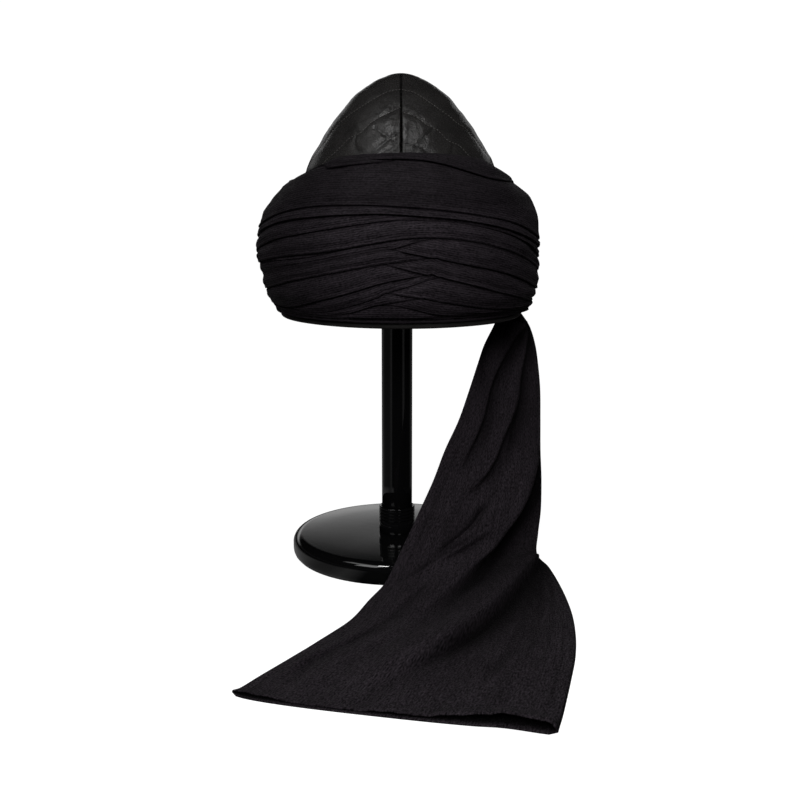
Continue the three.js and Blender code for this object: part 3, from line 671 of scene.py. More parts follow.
# Fold lines from the top edge to the rim. course: (angle, share of the wrap's height). depth: (angle,
# how deep the fold is). rows: mesh rows of the band above it. A line with a joins entry runs into
# that other line beyond the ends of its own course, (left neighbour, right neighbour).
FOLD_LINES = table(
    "line rows joins depth course",
    ("top edge", 0, (), [(-180, 0), (180, 0)], [(-180, 0.95), (-130, 0.885), (-90, 0.86), (-70, 0.872),
     (-50, 0.93), (-35, 0.98), (-20, 0.996), (-10, 1.0), (4, 1.003), (20, 1.0), (35, 0.99), (50, 0.97),
     (62, 0.935), (70, 0.92), (90, 0.91), (120, 0.93), (180, 0.95)]),
    ("inner turn", 4, (), [(-180, 0.3), (-100, 0.4), (-60, 0.1), (-14, 0), (-6, 0.75), (12, 0.9), (36, 0.9),
     (52, 0.4), (70, 0), (110, 0.3), (180, 0.3)], [(-180, 0.89), (-90, 0.83), (-70, 0.855), (-50, 0.91),
     (-35, 0.94), (-20, 0.955), (-8, 0.961), (2, 0.959), (12, 0.949), (21, 0.926), (34, 0.879), (41, 0.853),
     (50, 0.838), (70, 0.83), (90, 0.83), (180, 0.89)]),
    ("short turn", 1, ("inner turn", "inner turn"), [(-36, 0), (-32, 0.7), (-20, 0.8), (-12, 0.6), (-5, 0)],
     [(-36, 0.908), (-33, 0.913), (-25, 0.926), (-15, 0.938), (-5, 0.946)]),
    ("top band", 17, (), [(-180, 0.6), (-90, 0.7), (-60, 0.45), (0, 0.45), (40, 0.5), (80, 0.7),
     (180, 0.6)], [(-180, 0.57), (-90, 0.53), (-80, 0.558), (-70, 0.592), (-50, 0.656), (-35, 0.687),
     (-20, 0.697), (-8, 0.695), (4, 0.684), (20, 0.66), (35, 0.627), (47, 0.595), (60, 0.545), (69, 0.508),
     (80, 0.475), (90, 0.455), (180, 0.57)]),
    ("thick fold", 5, (), [(-180, 0.8), (-90, 0.9), (-50, 1.0), (40, 1.0), (70, 0.9), (180, 0.8)],
     [(-180, 0.51), (-90, 0.47), (-76, 0.515), (-55, 0.587), (-35, 0.626), (-20, 0.643), (-4, 0.647),
     (8, 0.632), (15, 0.6235), (31, 0.592), (50, 0.531), (60, 0.492), (70, 0.453), (90, 0.403),
     (180, 0.51)]),
    ("second band", 6, (), [(-180, 0.7), (-90, 0.8), (-40, 0.6), (0, 0.55), (30, 0.65), (46, 0.9),
     (90, 0.8), (180, 0.7)], [(-180, 0.43), (-90, 0.37), (-69, 0.439), (-55, 0.487), (-41, 0.5235),
     (-28, 0.557), (-15, 0.5895), (-2, 0.6135), (10, 0.609), (19, 0.603), (33, 0.566), (46, 0.521),
     (58, 0.463), (69, 0.407), (90, 0.337), (180, 0.43)]),
    ("left over right", 8, (), [(-180, 0.7), (-90, 0.9), (-50, 0.75), (0, 0.8), (14, 0.7), (40, 0.55),
     (90, 0.7), (180, 0.7)], [(-180, 0.33), (-90, 0.3), (-70, 0.34), (-50, 0.385), (-31, 0.42),
     (-20, 0.448), (-10, 0.476), (0, 0.502), (9, 0.5095), (18, 0.5), (26, 0.484), (46, 0.414), (60, 0.352),
     (71, 0.304), (90, 0.245), (180, 0.33)]),
    ("left tuck", 2, ("left over right", "left over right"), [(-80, 0), (-66, 0.7), (-40, 0.7), (-28, 0.4),
     (-21, 0)], [(-80, 0.318), (-66, 0.335), (-57, 0.352), (-46, 0.371), (-36, 0.39), (-28, 0.415),
     (-21, 0.441)]),
    ("first cross left", 2, ("first crossing", "left over right"), [(-5, 0), (-3, 0.4), (5, 0.4), (9, 0.15),
     (11, 0)], [(-5, 0.443), (-3, 0.449), (1, 0.468), (5, 0.487), (11, 0.506)]),
    ("first crossing", 6, (), [(-180, 0.8), (-90, 0.9), (-40, 0.85), (-5, 0.9), (10, 0.95), (40, 1.0),
     (90, 1.0), (180, 0.8)], [(-180, 0.24), (-90, 0.225), (-74, 0.259), (-55, 0.3), (-31, 0.365),
     (-18, 0.408), (-9, 0.437), (-4, 0.446), (3, 0.423), (11, 0.396), (22, 0.358), (36, 0.314), (48, 0.269),
     (59, 0.223), (72, 0.172), (90, 0.128), (180, 0.24)]),
    ("second cross left", 7, (None, "first crossing"), [(-180, 0.6), (-90, 0.7), (-40, 0.6), (-5, 0.5),
     (3, 0.42), (9, 0.3), (12, 0)], [(-180, 0.17), (-90, 0.135), (-75, 0.155), (-60, 0.191), (-45, 0.24),
     (-27, 0.2956), (-14, 0.337), (-4, 0.366), (4, 0.384), (12, 0.394)]),
    ("second crossing", 6, ("second cross left", None), [(-5, 0), (-2, 0.45), (7, 0.7), (14, 0.95),
     (60, 0.95), (90, 0.7), (180, 0.5)], [(-5, 0.352), (0, 0.334), (5, 0.313), (12, 0.283), (20, 0.253),
     (28, 0.2215), (38, 0.18), (49, 0.1415), (60, 0.105), (74, 0.072), (90, 0.058), (180, 0.14)]),
    ("third cross left", 6, (None, "second crossing"), [(-180, 0.6), (-90, 0.7), (-50, 0.85), (-10, 0.8),
     (4, 0.65), (9, 0.3), (11, 0)], [(-180, 0.1), (-90, 0.062), (-70, 0.06), (-56, 0.0625), (-44, 0.092),
     (-33, 0.1325), (-20, 0.185), (-8, 0.245), (1, 0.276), (11, 0.297)]),
    ("fourth cross left", 4, (None, "second crossing"), [(-180, 0.3), (-60, 0.2), (-36, 0.35), (-20, 0.55),
     (-5, 0.7), (5, 0.4), (11, 0.3), (14, 0)], [(-180, 0.07), (-90, 0.05), (-60, 0.047), (-40, 0.05),
     (-31, 0.062), (-20, 0.104), (-10, 0.156), (-4, 0.198), (3, 0.232), (10, 0.268), (14, 0.279)]),
    ("third crossing", 5, ("fourth cross left", None), [(-5, 0), (-2, 0.6), (7, 0.85), (30, 0.9), (60, 0.8),
     (90, 0.4), (180, 0.2)], [(-5, 0.19), (0, 0.178), (7, 0.16), (15, 0.133), (24, 0.108), (35, 0.078),
     (46, 0.06), (64, 0.045), (90, 0.042), (180, 0.055)]),
    ("lowest cross left", 3, ("rim shadow", "third crossing"), [(-26, 0), (-18, 0.55), (-8, 0.6), (0, 0.4),
     (5, 0.25), (8, 0)], [(-26, 0.042), (-21, 0.057), (-15, 0.086), (-8, 0.118), (-2, 0.136), (3, 0.148),
     (8, 0.157)]),
    ("lowest crossing", 2, ("lowest cross left", "rim shadow"), [(-8, 0), (-4, 0.4), (3, 0.7), (14, 0.65),
     (24, 0.3), (34, 0)], [(-8, 0.112), (-4, 0.114), (0, 0.109), (4, 0.096), (8, 0.078), (12, 0.062),
     (20, 0.046), (34, 0.036)]),
    ("rim shadow", 2, (), [(-180, 1.0), (-60, 1.0), (0, 1.0), (60, 1.0), (180, 1.0)], [(-180, 0.028),
     (-60, 0.028), (-35, 0.031), (-20, 0.034), (0, 0.037), (20, 0.034), (35, 0.031), (60, 0.028),
     (180, 0.028)]),
    ("rim band", 1, (), [(-180, 0.45), (180, 0.45)], [(-180, 0.013), (-35, 0.014), (0, 0.017), (35, 0.014),
     (180, 0.013)]),
)
LIP = 1.35           # how far a folded edge stands proud
TUCK = 2.2           # how deep the next band starts under it
SLIT = 0.28          # least height between two neighbouring lines
PUFFED = 1.5
ROOT_ANGLE = 86.0
ROOT_SPREAD = 15.0
ROOT_BULGE = 5.0


def wrap_body(angle, height, top):
    """Half-width of the wound body at angles and heights."""
    up = (height - CAP_BOTTOM) / (top - CAP_BOTTOM)
    left = through([(row["up"], row["left"]) for row in WRAP_OUTLINE], up)
    right = through([(row["up"], row["right"]) for row in WRAP_OUTLINE], up)
    root = bell(angle - ROOT_ANGLE, ROOT_SPREAD) * smooth((0.1 - up) / 0.08)
    return WRAP_HALF * mix(left, right, (1 + np.sin(np.radians(angle))) / 2) + ROOT_BULGE * root


def cap_outside(height):
    return dome_half((APEX_HEIGHT - height) / CAP_HEIGHT)


def fold_heights(angle):
    """Height of every fold line at the angles, in order and never closer than a slit."""
    shares = {line["line"]: through(line["course"], angle) for line in FOLD_LINES}
    for _ in range(2):
        for line in FOLD_LINES:
            for end, neighbour in enumerate(line["joins"]):
                if neighbour is None:
                    continue
                stop = line["course"][-end][0]
                beyond = (stop - angle) if end == 0 else (angle - stop)
                away = smooth(beyond / 4.0)
                shares[line["line"]] = mix(shares[line["line"]], shares[neighbour], away)
    heights = [CAP_BOTTOM + WRAP_HEIGHT * shares[line["line"]] for line in FOLD_LINES]
    floor = CAP_BOTTOM + SLIT * 2
    for i in range(len(heights) - 1, -1, -1):
        floor = np.maximum(heights[i], floor)
        heights[i] = floor
        floor = floor + SLIT
    return heights


def wound_ring():
    spans = [(-180, -90, 50), (-90, -35, 64), (-35, 35, 140), (35, 90, 64), (90, 180, 50)]
    angle = np.concatenate([np.linspace(a, b, n, endpoint=False) for a, b, n in spans] + [[180.0]])
    heights = fold_heights(angle)
    calmer = 1 - 0.3 * np.sin(np.radians(angle)) ** 6
    depths = [through(line["depth"], angle) * calmer for line in FOLD_LINES]
    top = heights[0]

    def body(z):
        return np.maximum(wrap_body(angle, z, top), cap_outside(z) + COVER_GAP + TOP_WALL * 0.8)

    run = np.radians(angle) * WRAP_HALF * MM
    section = []

    def row(half, z, above_edge, band):
        section.append((half, z, run, above_edge * MM + band * 0.05))

    row(cap_outside(top) + COVER_GAP + TOP_WALL * 0.35, top - 0.25, top - heights[1] + 2.5, 1)
    row(cap_outside(top) + COVER_GAP + TOP_WALL * 0.75, top, top - heights[1] + 2.2, 1)
    row(body(top - 0.7), top - 0.5, top - heights[1] + 1.2, 1)
    before = top - 0.8
    start_depth = 0 * angle
    for i in range(1, len(FOLD_LINES)):
        edge = heights[i]
        width = heights[i - 1] - edge
        below = edge - (heights[i + 1] if i + 1 < len(heights) else CAP_BOTTOM)
        full = smooth(width / 5.0)
        short = np.clip(width / 4.5, 0, 1)
        shy = np.clip(below / 3.2, 0, 1)
        depth = depths[i] * full
        sink = (1 - full) * TUCK * start_depth
        begin = before - (1.0 if i > 1 else 0) * short
        last = edge + 1.5 * short
        count = FOLD_LINES[i]["rows"]
        puffed = PUFFED * np.clip(width / 14, 0, 1)
        for n in range(count):
            t = (n + 1) / (count + 1)
            z = mix(begin, last, t)
            lift = puffed * 4 * t * (1 - t) * (0.45 if count > 12 else 1)
            hidden = start_depth * TUCK * 0.5 * bell(t, 0.16) * full
            row(body(z) + lift - hidden - sink, z, z - edge, i)
        row(body(last) + LIP * depth * 0.62 - sink + 0.15 * puffed, last, last - edge, i)
        row(body(edge) + LIP * depth - sink, edge + 0.7 * short, 0.7 + 0 * edge, i)
        row(body(edge) + LIP * depth * 0.95 - sink, edge + 0.12 * short, 0.1 + 0 * edge, i)
        row(body(edge) + LIP * depth * 0.45 - sink, edge - 0.3 * shy * depth, -0.5 + 0 * edge, i)
        row(body(edge) - TUCK * depth * 0.35 - sink, edge - 0.22 * shy * depth, -1.2 + 0 * edge, i)
        row(body(edge) - TUCK * depth * 0.95 - sink * 0.8, edge + 0.1 * short * depth - 0.02,
            -2.4 + 0 * edge, i)
        row(body(edge) - TUCK * depth * 0.9 - sink * 0.4, edge - 0.55 * shy, width * 0 + below - 0.5, i + 1)
        row(body(edge - 1.2 * shy) - TUCK * depth * 0.42 - sink * 0.1, edge - 1.3 * shy, below - 1.3, i + 1)
        before = edge - 1.6 * shy
        start_depth = depth
    row(body(CAP_BOTTOM + 0 * angle) - 0.2, CAP_BOTTOM + 0.25 + 0 * angle, 0 * angle + 0.5, 40)
    row(body(CAP_BOTTOM + 0 * angle) - 1.0, CAP_BOTTOM + 0 * angle, 0 * angle, 40)
    inner = [CAP_BOTTOM, CAP_BOTTOM + 12, 230, 250, 270, 290, 303]
    for z in inner:
        row(cap_outside(z + 0 * angle) + COVER_GAP, z + 0 * angle, 0 * angle + z - CAP_BOTTOM, 41)
    shelf = np.minimum(312, top - 3)
    row(cap_outside(shelf) + COVER_GAP, shelf, shelf - CAP_BOTTOM, 41)
    row(cap_outside(top) + COVER_GAP, top - 0.8, top - CAP_BOTTOM, 41)
    half, height, *threads = (np.array(column) for column in zip(*section))
    outer = len(section) - len(inner) - 4
    turn = np.radians(angle)[None, :]
    ridges = 0.34 * roughen(np.sin(turn) * 1.7 + 5, height * 0.17 + 0.6 * np.cos(turn), 2.3)
    ridges += 0.20 * roughen(np.sin(turn) * 5 + 2 * np.cos(turn), height * 0.42, 7.9)
    ridges += 0.75 * roughen(np.sin(turn) * 1.3, np.cos(turn) * 1.3 + height * 0.02, 5.5)
    ridges[outer:] = 0
    ridges[:3] *= 0.3
    places = hat_ring(angle[None, :], half + ridges, height)
    weave = np.stack(threads, axis=-1)
    up = (height - CAP_BOTTOM) / WRAP_HEIGHT
    # Painted shade: the top band and both sides darker, the left side most, as the light falls mostly from
    # the front
    light = (1 - 0.5 * smooth((up - 0.62) / 0.1)) * (1 - 0.38 * smooth((-angle[None, :] - 12) / 35))
    light = light * (1 - 0.14 * smooth((angle[None, :] - 15) / 35))
    bm = shaped_grid(places, weave, outward=(0, -1, 0), painted_shade=1 - light)
    bmesh.ops.remove_doubles(bm, verts=bm.verts, dist=1e-6)
    ends = [edge for edge in bm.edges if edge.is_boundary]
    bmesh.ops.bridge_loops(bm, edges=ends)
    piece = finish_piece(bm, "wound_ring", wrap_crepe, ["turban_wrap"], seam_free=False)
    return piece


# Tail

# Sections of the tail: its left edge and its right edge as shares of its reach to the side, its reach to the
# front and the rim's height, and shares of how thick it lies and how far its middle swells
TAIL_SECTIONS = table(
    "left right thick swell",
    ((0.7, 0.037, 0.998), (0.842, 0.025, 0.998), 3, 0),
    ((0.654, 0.016, 0.945), (0.904, 0.028, 0.942), 2.75, 0),
    ((0.588, -0.009, 0.875), (0.939, 0.009, 0.87), 2, 0.25),
    ((0.539, -0.034, 0.8), (0.957, -0.006, 0.79), 1.5, 0.5),
    ((0.48, -0.066, 0.705), (0.967, -0.028, 0.695), 1.15, 0.5),
    ((0.406, -0.105, 0.595), (0.963, -0.058, 0.58), 1.05, 0.75),
    ((0.313, -0.144, 0.49), (0.958, -0.087, 0.47), 1, 0.75),
    ((0.237, -0.183, 0.387), (0.958, -0.119, 0.36), 1, 1),
    ((0.152, -0.222, 0.29), (0.948, -0.15, 0.25), 1, 1),
    ((0.068, -0.256, 0.195), (0.925, -0.175, 0.165), 1, 1),
    ((-0.01, -0.287, 0.11), (0.912, -0.203, 0.095), 1, 1),
    ((-0.083, -0.323, 0.042), (0.979, -0.244, 0.062), 0.9, 0.75),
    ((-0.185, -0.38, 0.005), (1.03, -0.331, 0.025), 0.8, 0.5),
    ((-0.284, -0.486, 0), (1.044, -0.441, 0.004), 0.75, 0),
    ((-0.447, -0.596, 0), (1.017, -0.559, 0), 0.75, 0),
    ((-0.604, -0.694, 0), (0.969, -0.669, 0), 0.75, 0),
    ((-0.726, -0.767, 0), (0.898, -0.781, 0), 0.75, 0),
    ((-0.795, -0.809, 0), (0.813, -0.906, 0), 0.75, 0),
    ((-0.834, -0.826, 0), (0.75, -0.994, 0), 0.75, 0),
)

# Long folds of the tail. course: (section, share across the sleeve). ridge: millimetres the cloth rises on
# one side, lit: which side that is. crease: how deep the line is. steep, slope: widths of the two sides.
# step: how much lower the cloth stays on the far side, over its reach. lean: how far the ridge hangs over.
# Painted shade: the column after fold, how much darker the cloth is painted down in the fold, and beyond, how
# much darker it is painted on all of its far side.
TAIL_FOLDS = table(
    "fold dark beyond lean ridge lit crease steep slope step reach ends course",
    ("edge crease", 0.55, 0, 0.5, 2.0, 1, 3.0, 2.2, 5, 0, 9, (0.8, 1.2), [(1.4, 0.12), (2.6, 0.06),
     (3.5, 0.1), (4.4, 0.2)]),
    ("left gather", 0.85, 0, 2.6, 4.2, -1, 4.6, 2.7, 8, 2.2, 12, (0.6, 2.2), [(0.5, 0.82), (1.2, 0.72),
     (1.8, 0.55), (2.8, 0.39), (3.3, 0.325), (3.9, 0.285), (4.8, 0.275), (5.6, 0.265), (6.4, 0.24),
     (7.4, 0.19)]),
    ("right gather", 0.88, 0.0, 3.2, 4.4, -1, 5.2, 3.6, 9, 3.0, 14, (0.6, 2.0), [(0.4, 0.96), (0.9, 0.93),
     (1.4, 0.89), (2.3, 0.79), (3.0, 0.73), (3.7, 0.69), (4.3, 0.68), (5.2, 0.66), (6.2, 0.65),
     (6.8, 0.645)]),
    ("middle sweep", 0.75, 0, 2.6, 3.2, -1, 4.4, 3.2, 12, 2.0, 16, (1.0, 1.0), [(4.1, 0.66), (4.8, 0.595),
     (5.4, 0.56), (6.0, 0.545), (6.4, 0.52), (7.1, 0.43), (7.8, 0.33)]),
    ("short pinch", 0.8, 0, 2.2, 4.2, 1, 4.4, 2.4, 8, 1.5, 12, (0.5, 1.2), [(7.7, 0.53), (8.1, 0.49),
     (8.6, 0.45), (9.0, 0.4), (9.4, 0.33), (10.3, 0.23)]),
    ("soft pinch", 0.5, 0, 1.0, 1.6, -1, 2.8, 3, 9, 0, 9, (0.5, 0.8), [(8.7, 0.62), (9.3, 0.5), (9.7, 0.42),
     (10.5, 0.31)]),
    ("great fold", 0.96, 0.5, 4.5, 6.0, -1, 4.4, 4.6, 20, 8.5, 42, (1.0, 2.6), [(5.6, 1.03), (6.2, 0.985),
     (6.7, 0.945), (7.4, 0.89), (8.0, 0.83), (8.6, 0.77), (9.2, 0.71), (9.8, 0.66), (10.4, 0.59),
     (11.2, 0.52), (12.0, 0.43), (12.6, 0.37), (13.6, 0.29)]),
    ("floor fold", 0.99, 0.0, 5.5, 14, -1, 3.0, 6.5, 26, 0, 9, (1.7, 2.4), [(9.3, 1.02), (10.1, 1.0),
     (10.6, 0.965), (11.3, 0.89), (11.9, 0.8), (12.5, 0.733), (13.2, 0.668), (13.9, 0.62), (14.8, 0.548),
     (15.5, 0.493), (16.6, 0.425)]),
    ("fan crease", 0.42, 0, 0.5, 1.3, -1, 1.5, 3, 8, 0, 9, (0.8, 1.2), [(11.3, 0.89), (12.8, 0.79),
     (13.9, 0.765), (15.1, 0.75), (16.6, 0.72)]),
    ("fan ray", 0.35, 0, 0.4, 1.0, 1, 1.2, 2.4, 6, 0, 9, (0.6, 1.2), [(11.0, 0.94), (12.0, 0.885),
     (13.4, 0.85), (15.2, 0.84)]),
    ("outer fan ray", 0.3, 0, 0.3, 0.9, 1, 1.1, 2.2, 5, 0, 9, (0.6, 1.4), [(11.0, 0.97), (12.2, 0.93),
     (13.6, 0.905), (15.4, 0.9)]),
    ("left drag", 0.42, 0, 0.6, 1.2, -1, 1.6, 3, 8, 0, 9, (0.8, 1.5), [(11.3, 0.28), (12.7, 0.19),
     (13.6, 0.165), (14.8, 0.115), (16.6, 0.1)]),
    ("upper drag", 0.5, 0, 0.8, 1.8, 1, 1.8, 2.8, 7, 0, 9, (0.6, 0.8), [(8.9, 0.5), (9.9, 0.31), (10.6, 0.2),
     (11.3, 0.1)]),
)
# How far the open hem lifts off the floor in millimetres, at shares across it: upper layer, lower layer
HEM_LIFT = table(
    "across upper lower",
    (0.0, 0.4, 0.0), (0.03, 1.2, 0.0), (0.1, 0.3, 0.0), (0.56, 0.3, 0.0), (0.68, 1.2, 0.2), (0.77, 3.8, 0.6),
    (0.835, 7.6, 1.3), (0.88, 7.2, 1.2), (0.92, 5.8, 0.8), (0.96, 5.0, 0.4), (0.985, 4.2, 0.2),
    (1.0, 1.8, 0.0),
)
SLEEVE_WALL = 0.9
HEM = 10.0
HEM_BOW = 7.0
PLEATS = 4.2


def section_value(section, key):
    return through([(i, row[key]) for i, row in enumerate(TAIL_SECTIONS)], section)


def section_place(section, key):
    """Places of the tail's left or right edge in millimetres, at sections counted from the top."""
    shares = [through([(i, row[key][axis]) for i, row in enumerate(TAIL_SECTIONS)], section)
              for axis in range(3)]
    return np.stack(shares, axis=-1) * np.array([TAIL_SIDE, TAIL_FRONT, RIM_HEIGHT])


def tail_folds(section, across, width):
    """How far the long folds move the cloth towards its front and sideways, in millimetres, and how much
    painted shade each place gets, from 0 to 1, down in a fold and on its far side."""
    rise = 0 * (section + across)
    slide = 0 * rise
    light = 1 + 0 * rise
    for fold in TAIL_FOLDS:
        first, last = fold["course"][0][0], fold["course"][-1][0]
        strength = smooth((section - first) / fold["ends"][0]) * smooth((last - section) / fold["ends"][1])
        off = (across - through(fold["course"], section)) * width * fold["lit"]
        crest = off - fold["steep"] * 1.35
        crown = bell(crest, np.where(crest < 0, fold["steep"], fold["slope"]))
        beyond = fold["step"] * smooth(-off / fold["steep"]) * bell(np.minimum(off, 0), fold["reach"])
        crease = fold["crease"] * bell(off, fold["steep"])
        rise = rise + strength * (fold["ridge"] * crown - crease - beyond)
        slide = slide - strength * fold["lit"] * fold["lean"] * crown
        # Painted shade: darker down in the fold's crease, and by beyond over all of its far side
        shade_in_crease = bell(off, np.where(off < 0, fold["steep"] * 2.5, fold["steep"] * 0.8))
        light = light * (1 - strength * (fold["dark"] * shade_in_crease + fold["beyond"] * smooth(-off / 6)))
    # Painted shade at the top of the tail, under the ring
    light = light * (1 - 0.5 * bell(section - 1.5, 1.0) * bell(across - 0.45, 0.3))
    return rise, slide, 1 - np.clip(light, 0, 1)


def sewn_tail():
    """The tail as a flat sleeve of two layers. Gives the path of its hem's stitches."""
    front_columns, back_columns, rows = 124, 40, 236
    fine = np.linspace(0, len(TAIL_SECTIONS) - 1, 721)
    run = run_along((section_place(fine, "left") + section_place(fine, "right")) / 2)
    lengths = np.linspace(0, run[-1], rows + 1)
    section = np.interp(lengths, run, fine)[:, None]
    front = np.linspace(0, 1, front_columns + 1)
    back = np.linspace(1, 0, back_columns + 1)[1:]
    across = np.concatenate([front, back])[None, :]
    is_back = np.concatenate([0 * front, 0 * back + 1])[None, :]
    left, right = section_place(section, "left"), section_place(section, "right")
    width = np.linalg.norm(right - left, axis=-1)
    centre = (left + right) / 2
    along = np.gradient(centre, axis=0)
    along = along / np.linalg.norm(along, axis=-1, keepdims=True)
    normal = np.cross(along, right - left)
    normal = normal / np.linalg.norm(normal, axis=-1, keepdims=True)
    on_floor = smooth((section - 9) / 3.0)[..., None]
    normal = mix(normal, np.array([0, 0, 1.0]), smooth((section[..., None] - 10.5) / 1.5))
    normal = normal / np.linalg.norm(normal, axis=-1, keepdims=True)
    on_floor = on_floor[..., 0]
    side = np.minimum(across, 1 - across) * width
    rim = np.sqrt(np.clip(1 - (1 - np.clip(side / 3.0, 0, 1)) ** 2, 0, 1))
    thick = section_value(section, "thick") * TAIL_THICK
    flat = mix(2.2, thick, smooth(side / (0.08 * width))) * rim
    fade = smooth(side / 7.0)
    rise, slide, painted_shade = tail_folds(section, across, width)
    rise = rise + section_value(section, "swell") * TAIL_SWELL * np.sin(np.pi * across)
    distance = lengths[:, None]
    pleats = np.sin(2 * np.pi * PLEATS * across ** 0.9 + 0.9) + 0.5 * np.sin(2 * np.pi * 7.3 * across + 2.2)
    rise = rise + 2.6 * pleats * bell(section, 2.1) * fade
    rise = rise - 5.0 * bell(section - 1.7, 0.8) * bell(across - 0.28, 0.22)
    soft = smooth((section - 1.5) / 2)
    wander = across * width
    rise = rise + soft * 1.3 * roughen(wander * 0.055 + 3, distance * 0.011, 4.4)
    rise = rise + soft * 0.65 * roughen(wander * 0.14, distance * 0.024, 8.8)
    rise = rise + 0.2 * roughen(wander * 0.4, distance * 0.06, 1.7)
    rise = rise * fade
    near_hem = smooth((section - 17.0) / 1.0)
    lifts = {key: through([(row["across"], row[key]) for row in HEM_LIFT], across) * near_hem
             for key in ("upper", "lower")}
    hem_step = 0.45 * smooth((distance - (run[-1] - HEM)) / 0.8)
    stitch_dip = 0.5 * bell(distance - (run[-1] - HEM + 1.2), 0.9)
    side_seam = 0.45 * bell(side - 9.5, 0.9) * smooth((section - 4) / 3)
    lower = (1 - on_floor) * (rise - flat / 2) + on_floor * lifts["lower"]
    upper_floor = flat + np.maximum(rise, -0.35 * flat) + lifts["upper"]
    upper = (1 - on_floor) * (rise - flat / 2 + flat) + on_floor * upper_floor
    upper = np.maximum(upper + (hem_step * 0.7 - stitch_dip - side_seam) * fade, lower + 0.6 * flat)
    height = np.where(is_back > 0, lower, upper)
    bow = HEM_BOW * smooth((section - 14) / 4) * np.sin(np.pi * across ** 0.45)
    overhang = np.where(is_back > 0, 0.9, -0.6) * smooth((section - 17.6) / 0.4) * fade
    base = left + (right - left) * across[..., None]
    sideways = (right - left) / width[..., None]
    places = base + along * (bow + overhang)[..., None] + normal * height[..., None]
    places = places + sideways * (slide * fade)[..., None]
    places[..., 2] = np.maximum(places[..., 2], 0.02)
    weave = np.stack(np.broadcast_arrays(distance * MM, across * width.max() * MM * 0.95 + is_back * 0.4),
                     axis=-1)
    left_over = run[-1] - distance
    # Painted shade inside the open hem, on the sleeve's back layer
    mouth_shade = 0.9 * smooth((left_over - 1.2) / 1.5) * smooth((60 - left_over) / 30)
    painted_shade = np.where(is_back > 0, mouth_shade, painted_shade)
    # Random darker patches in the cloth's own tone
    painted_shade = 1 - (1 - painted_shade) * (1 - 0.2 * np.clip(roughen(wander * 0.1, distance * 0.02, 6.1), 0, 1))
    # Painted shade along the side seam's dip
    painted_shade = 1 - (1 - painted_shade) * (1 - 0.35 * bell(side - 9.5, 0.8) * smooth((section - 4) / 3))
    wall = np.clip((upper - lower) / (2.3 * SLEEVE_WALL), 0.05, 1)
    bm = shaped_grid(places, weave, painted_shade=painted_shade, wall=wall)
    bmesh.ops.remove_doubles(bm, verts=bm.verts, dist=1e-6)
    top = [edge for edge in bm.edges if edge.is_boundary and edge.calc_length() < 0.01
           and min(v.co.z for v in edge.verts) > 0.15]
    bmesh.ops.edgeloop_fill(bm, edges=top)
    bmesh.ops.recalc_face_normals(bm, faces=bm.faces)
    piece = finish_piece(bm, "sewn_tail", tail_crepe, ["tail"])
    piece.vertex_groups.new(name="wall_share")
    add_wall(piece, "cloth_thickness", SLEEVE_WALL, vertex_group="wall_share")
    stitch_row = rows - round(HEM / (run[-1] / rows)) + 1
    return places[stitch_row, 3:front_columns - 2]


# Camera, floor and light

# Brightness of the floor that reflections see, far from the object and close to it, by the share of a full
# turn round it from behind by the left, and of the sky by its height: (place, brightness)
FLOOR_FAR = [(0.0, 0.5), (0.14, 0.45), (0.2, 0.13), (0.34, 0.1), (0.372, 0.26), (0.388, 0.26), (0.405, 0.005),
             (0.605, 0.005), (0.625, 0.25), (0.65, 0.25), (0.67, 0.005), (0.8, 0.02), (0.845, 0.28),
             (1.0, 0.5)]
FLOOR_NEAR = [(0.0, 0.3), (0.2, 0.45), (0.306, 0.42), (0.347, 0.25), (0.375, 0.3), (0.39, 0.4), (0.408, 0.55),
              (0.425, 0.35), (0.445, 0.02), (0.55, 0.01), (1.0, 0.05)]
SKY_GLOW = [(0.12, 0.0), (0.2, 0.5), (0.28, 1.0), (0.29, 0.52), (0.301, 0.28), (0.313, 0.13), (0.327, 0.05),
            (0.36, 0.0)]
LAMPS = table(
    "lamp place size power lights",
    ("front_softbox", (-0.04, -1.5, 1.0), (0.9, 0.7), 14.5, "cloth"),
    ("left_key_softbox", (-0.66, -0.75, 1.4), (0.6, 0.5), 2.3, "both"),
    ("right_key_softbox", (0.3, -0.75, 1.4), (0.35, 0.35), 1.6, "both"),
    ("overhead_softbox", (-0.15, 0.0, 1.5), (0.8, 0.6), 1.6, "cloth"),
    ("shine_strip", (-0.55, -0.36, 1.4), (1.0, 0.34), 1.5, "gloss"),
    ("left_glint", (-0.25, -0.5, 1.4), (0.2, 0.14), 2.6, "gloss"),
    ("right_glint", (0.31, -0.5, 1.4), (0.16, 0.12), 1.3, "gloss"),
)
LAMP_AIM = (0.0, -0.03, 0.2)


def bands(tree, factor, stops):
    """Grey bands along a factor: (place, brightness) in order."""
    ramp = node(tree, "ShaderNodeValToRGB", {0: factor})
    made = ramp.color_ramp.elements
    for stop, (place, grey) in zip(made, (stops[0], stops[-1])):
        stop.position, stop.color = place, (grey, grey, grey, 1)
    for place, grey in stops[1:-1]:
        made.new(place).color = (grey, grey, grey, 1)
    return ramp.outputs[0]


def between(tree, value, start, end):
    """0 up to a start and 1 from an end on."""
    return node(tree, "ShaderNodeMapRange", {0: value, 1: start, 2: end}).outputs[0]


def for_camera(tree, reflected, seen, output):
    """One shader for reflections and bounced light, and another for what the camera sees directly."""
    camera_ray = node(tree, "ShaderNodeLightPath").outputs["Is Camera Ray"]
    blend = node(tree, "ShaderNodeMixShader", {0: camera_ray, 1: reflected, 2: seen})
    tree.links.new(blend.outputs[0], tree.nodes[output].inputs[0])


def set_camera():
    data = bpy.data.cameras.new("camera")
    data.lens = 50
    data.sensor_width = 36
    data.clip_start = 0.05
    data.clip_end = 50
    camera = bpy.data.objects.new("camera", data)
    camera.location = (0, -0.887, 0.302)
    camera.rotation_euler = (math.radians(79.11), 0, 0)
    scene.collection.objects.link(camera)
    scene.camera = camera


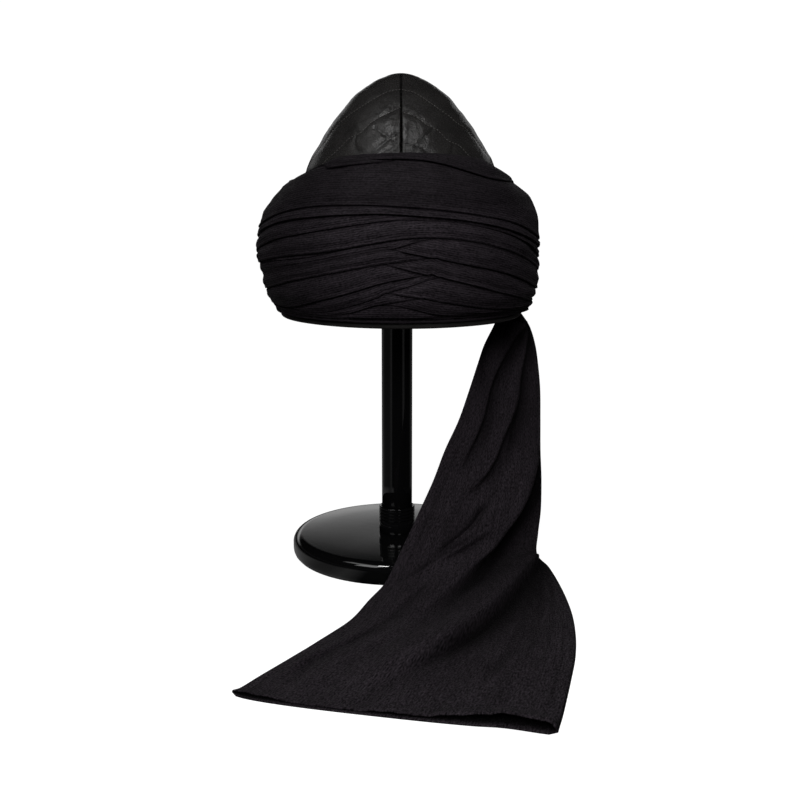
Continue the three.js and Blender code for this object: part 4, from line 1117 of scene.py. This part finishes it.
def set_floor():
    bm = bmesh.new()
    bmesh.ops.create_grid(bm, x_segments=8, y_segments=8, size=6.0)
    mesh = bpy.data.meshes.new("studio_floor")
    bm.to_mesh(mesh)
    bm.free()
    floor = bpy.data.objects.new("studio_floor", mesh)
    scene.collection.objects.link(floor)
    made, tree, surface = material("pale_floor")
    place = object_places(tree)
    spot = node(tree, "ShaderNodeSeparateXYZ", {0: place})
    ahead = math_node(tree, "MULTIPLY", spot.outputs[1], -1.0)
    bearing = math_node(tree, "ARCTAN2", spot.outputs[0], ahead)
    turn = math_node(tree, "MULTIPLY_ADD", bearing, 0.5 / math.pi, 0.5)
    away = node(tree, "ShaderNodeVectorMath", {0: place}, operation="LENGTH").outputs["Value"]
    shown = mixed(tree, between(tree, away, 0.14, 0.19), bands(tree, turn, FLOOR_NEAR),
                  bands(tree, turn, FLOOR_FAR))
    plug(tree, surface, {"Base Color": shown, "Roughness": 0.9, "Specular IOR Level": 0.0})
    pale = node(tree, "ShaderNodeBsdfDiffuse", {0: (0.35, 0.35, 0.35, 1)})
    bright = math_node(tree, "MULTIPLY_ADD", between(tree, away, 0.35, 1.3), 0.05, 0.955)
    lit = node(tree, "ShaderNodeEmission", {0: (1, 1, 1, 1), 1: bright})
    both = node(tree, "ShaderNodeAddShader", {0: pale.outputs[0], 1: lit.outputs[0]})
    for_camera(tree, surface.outputs[0], both.outputs[0], "Material Output")
    mesh.materials.append(made)


def set_sky():
    world = bpy.data.worlds.new("studio")
    world.use_nodes = True
    scene.world = world
    tree = world.node_tree
    split = node(tree, "ShaderNodeSeparateXYZ", {0: node(tree, "ShaderNodeTexCoord").outputs["Generated"]})
    behind = between(tree, split.outputs[1], 0.68, 0.88)
    back = tree.nodes["Background"]
    plug(tree, back, {0: bands(tree, split.outputs[2], SKY_GLOW),
                      1: math_node(tree, "MULTIPLY_ADD", behind, 0.97, 0.03)})
    plain = node(tree, "ShaderNodeBackground", {0: (1, 1, 1, 1), 1: 1.05})
    for_camera(tree, back.outputs[0], plain.outputs[0], "World Output")


def set_lamps():
    for lamp in LAMPS:
        data = bpy.data.lights.new(lamp["lamp"], "AREA")
        data.shape = "RECTANGLE"
        data.size, data.size_y = lamp["size"]
        data.energy = lamp["power"]
        light = bpy.data.objects.new(lamp["lamp"], data)
        light.location = lamp["place"]
        aim = Vector(LAMP_AIM) - Vector(lamp["place"])
        light.rotation_euler = aim.to_track_quat("-Z", "Y").to_euler()
        light.visible_diffuse = lamp["lights"] != "gloss"
        light.visible_glossy = lamp["lights"] != "cloth"
        scene.collection.objects.link(light)


set_camera()
set_floor()
set_sky()
set_lamps()
scene.view_settings.view_transform = "Standard"
scene.view_settings.look = "None"
disc_foot()
ringed_collar()
pole_and_rest()
quilted_cap()
edge_strip()
wrap = wound_ring()
hem_path = sewn_tail()
hem_dots = places_along(hem_path, np.arange(0, run_along(hem_path)[-1], HEM_STITCH["apart"]))
hem_up = np.tile(np.array([0.0, 0.0, 1.0]), (len(hem_dots), 1))
stitches([(hem_dots, hem_up)], "hem_thread", cloth_thread, HEM_STITCH)
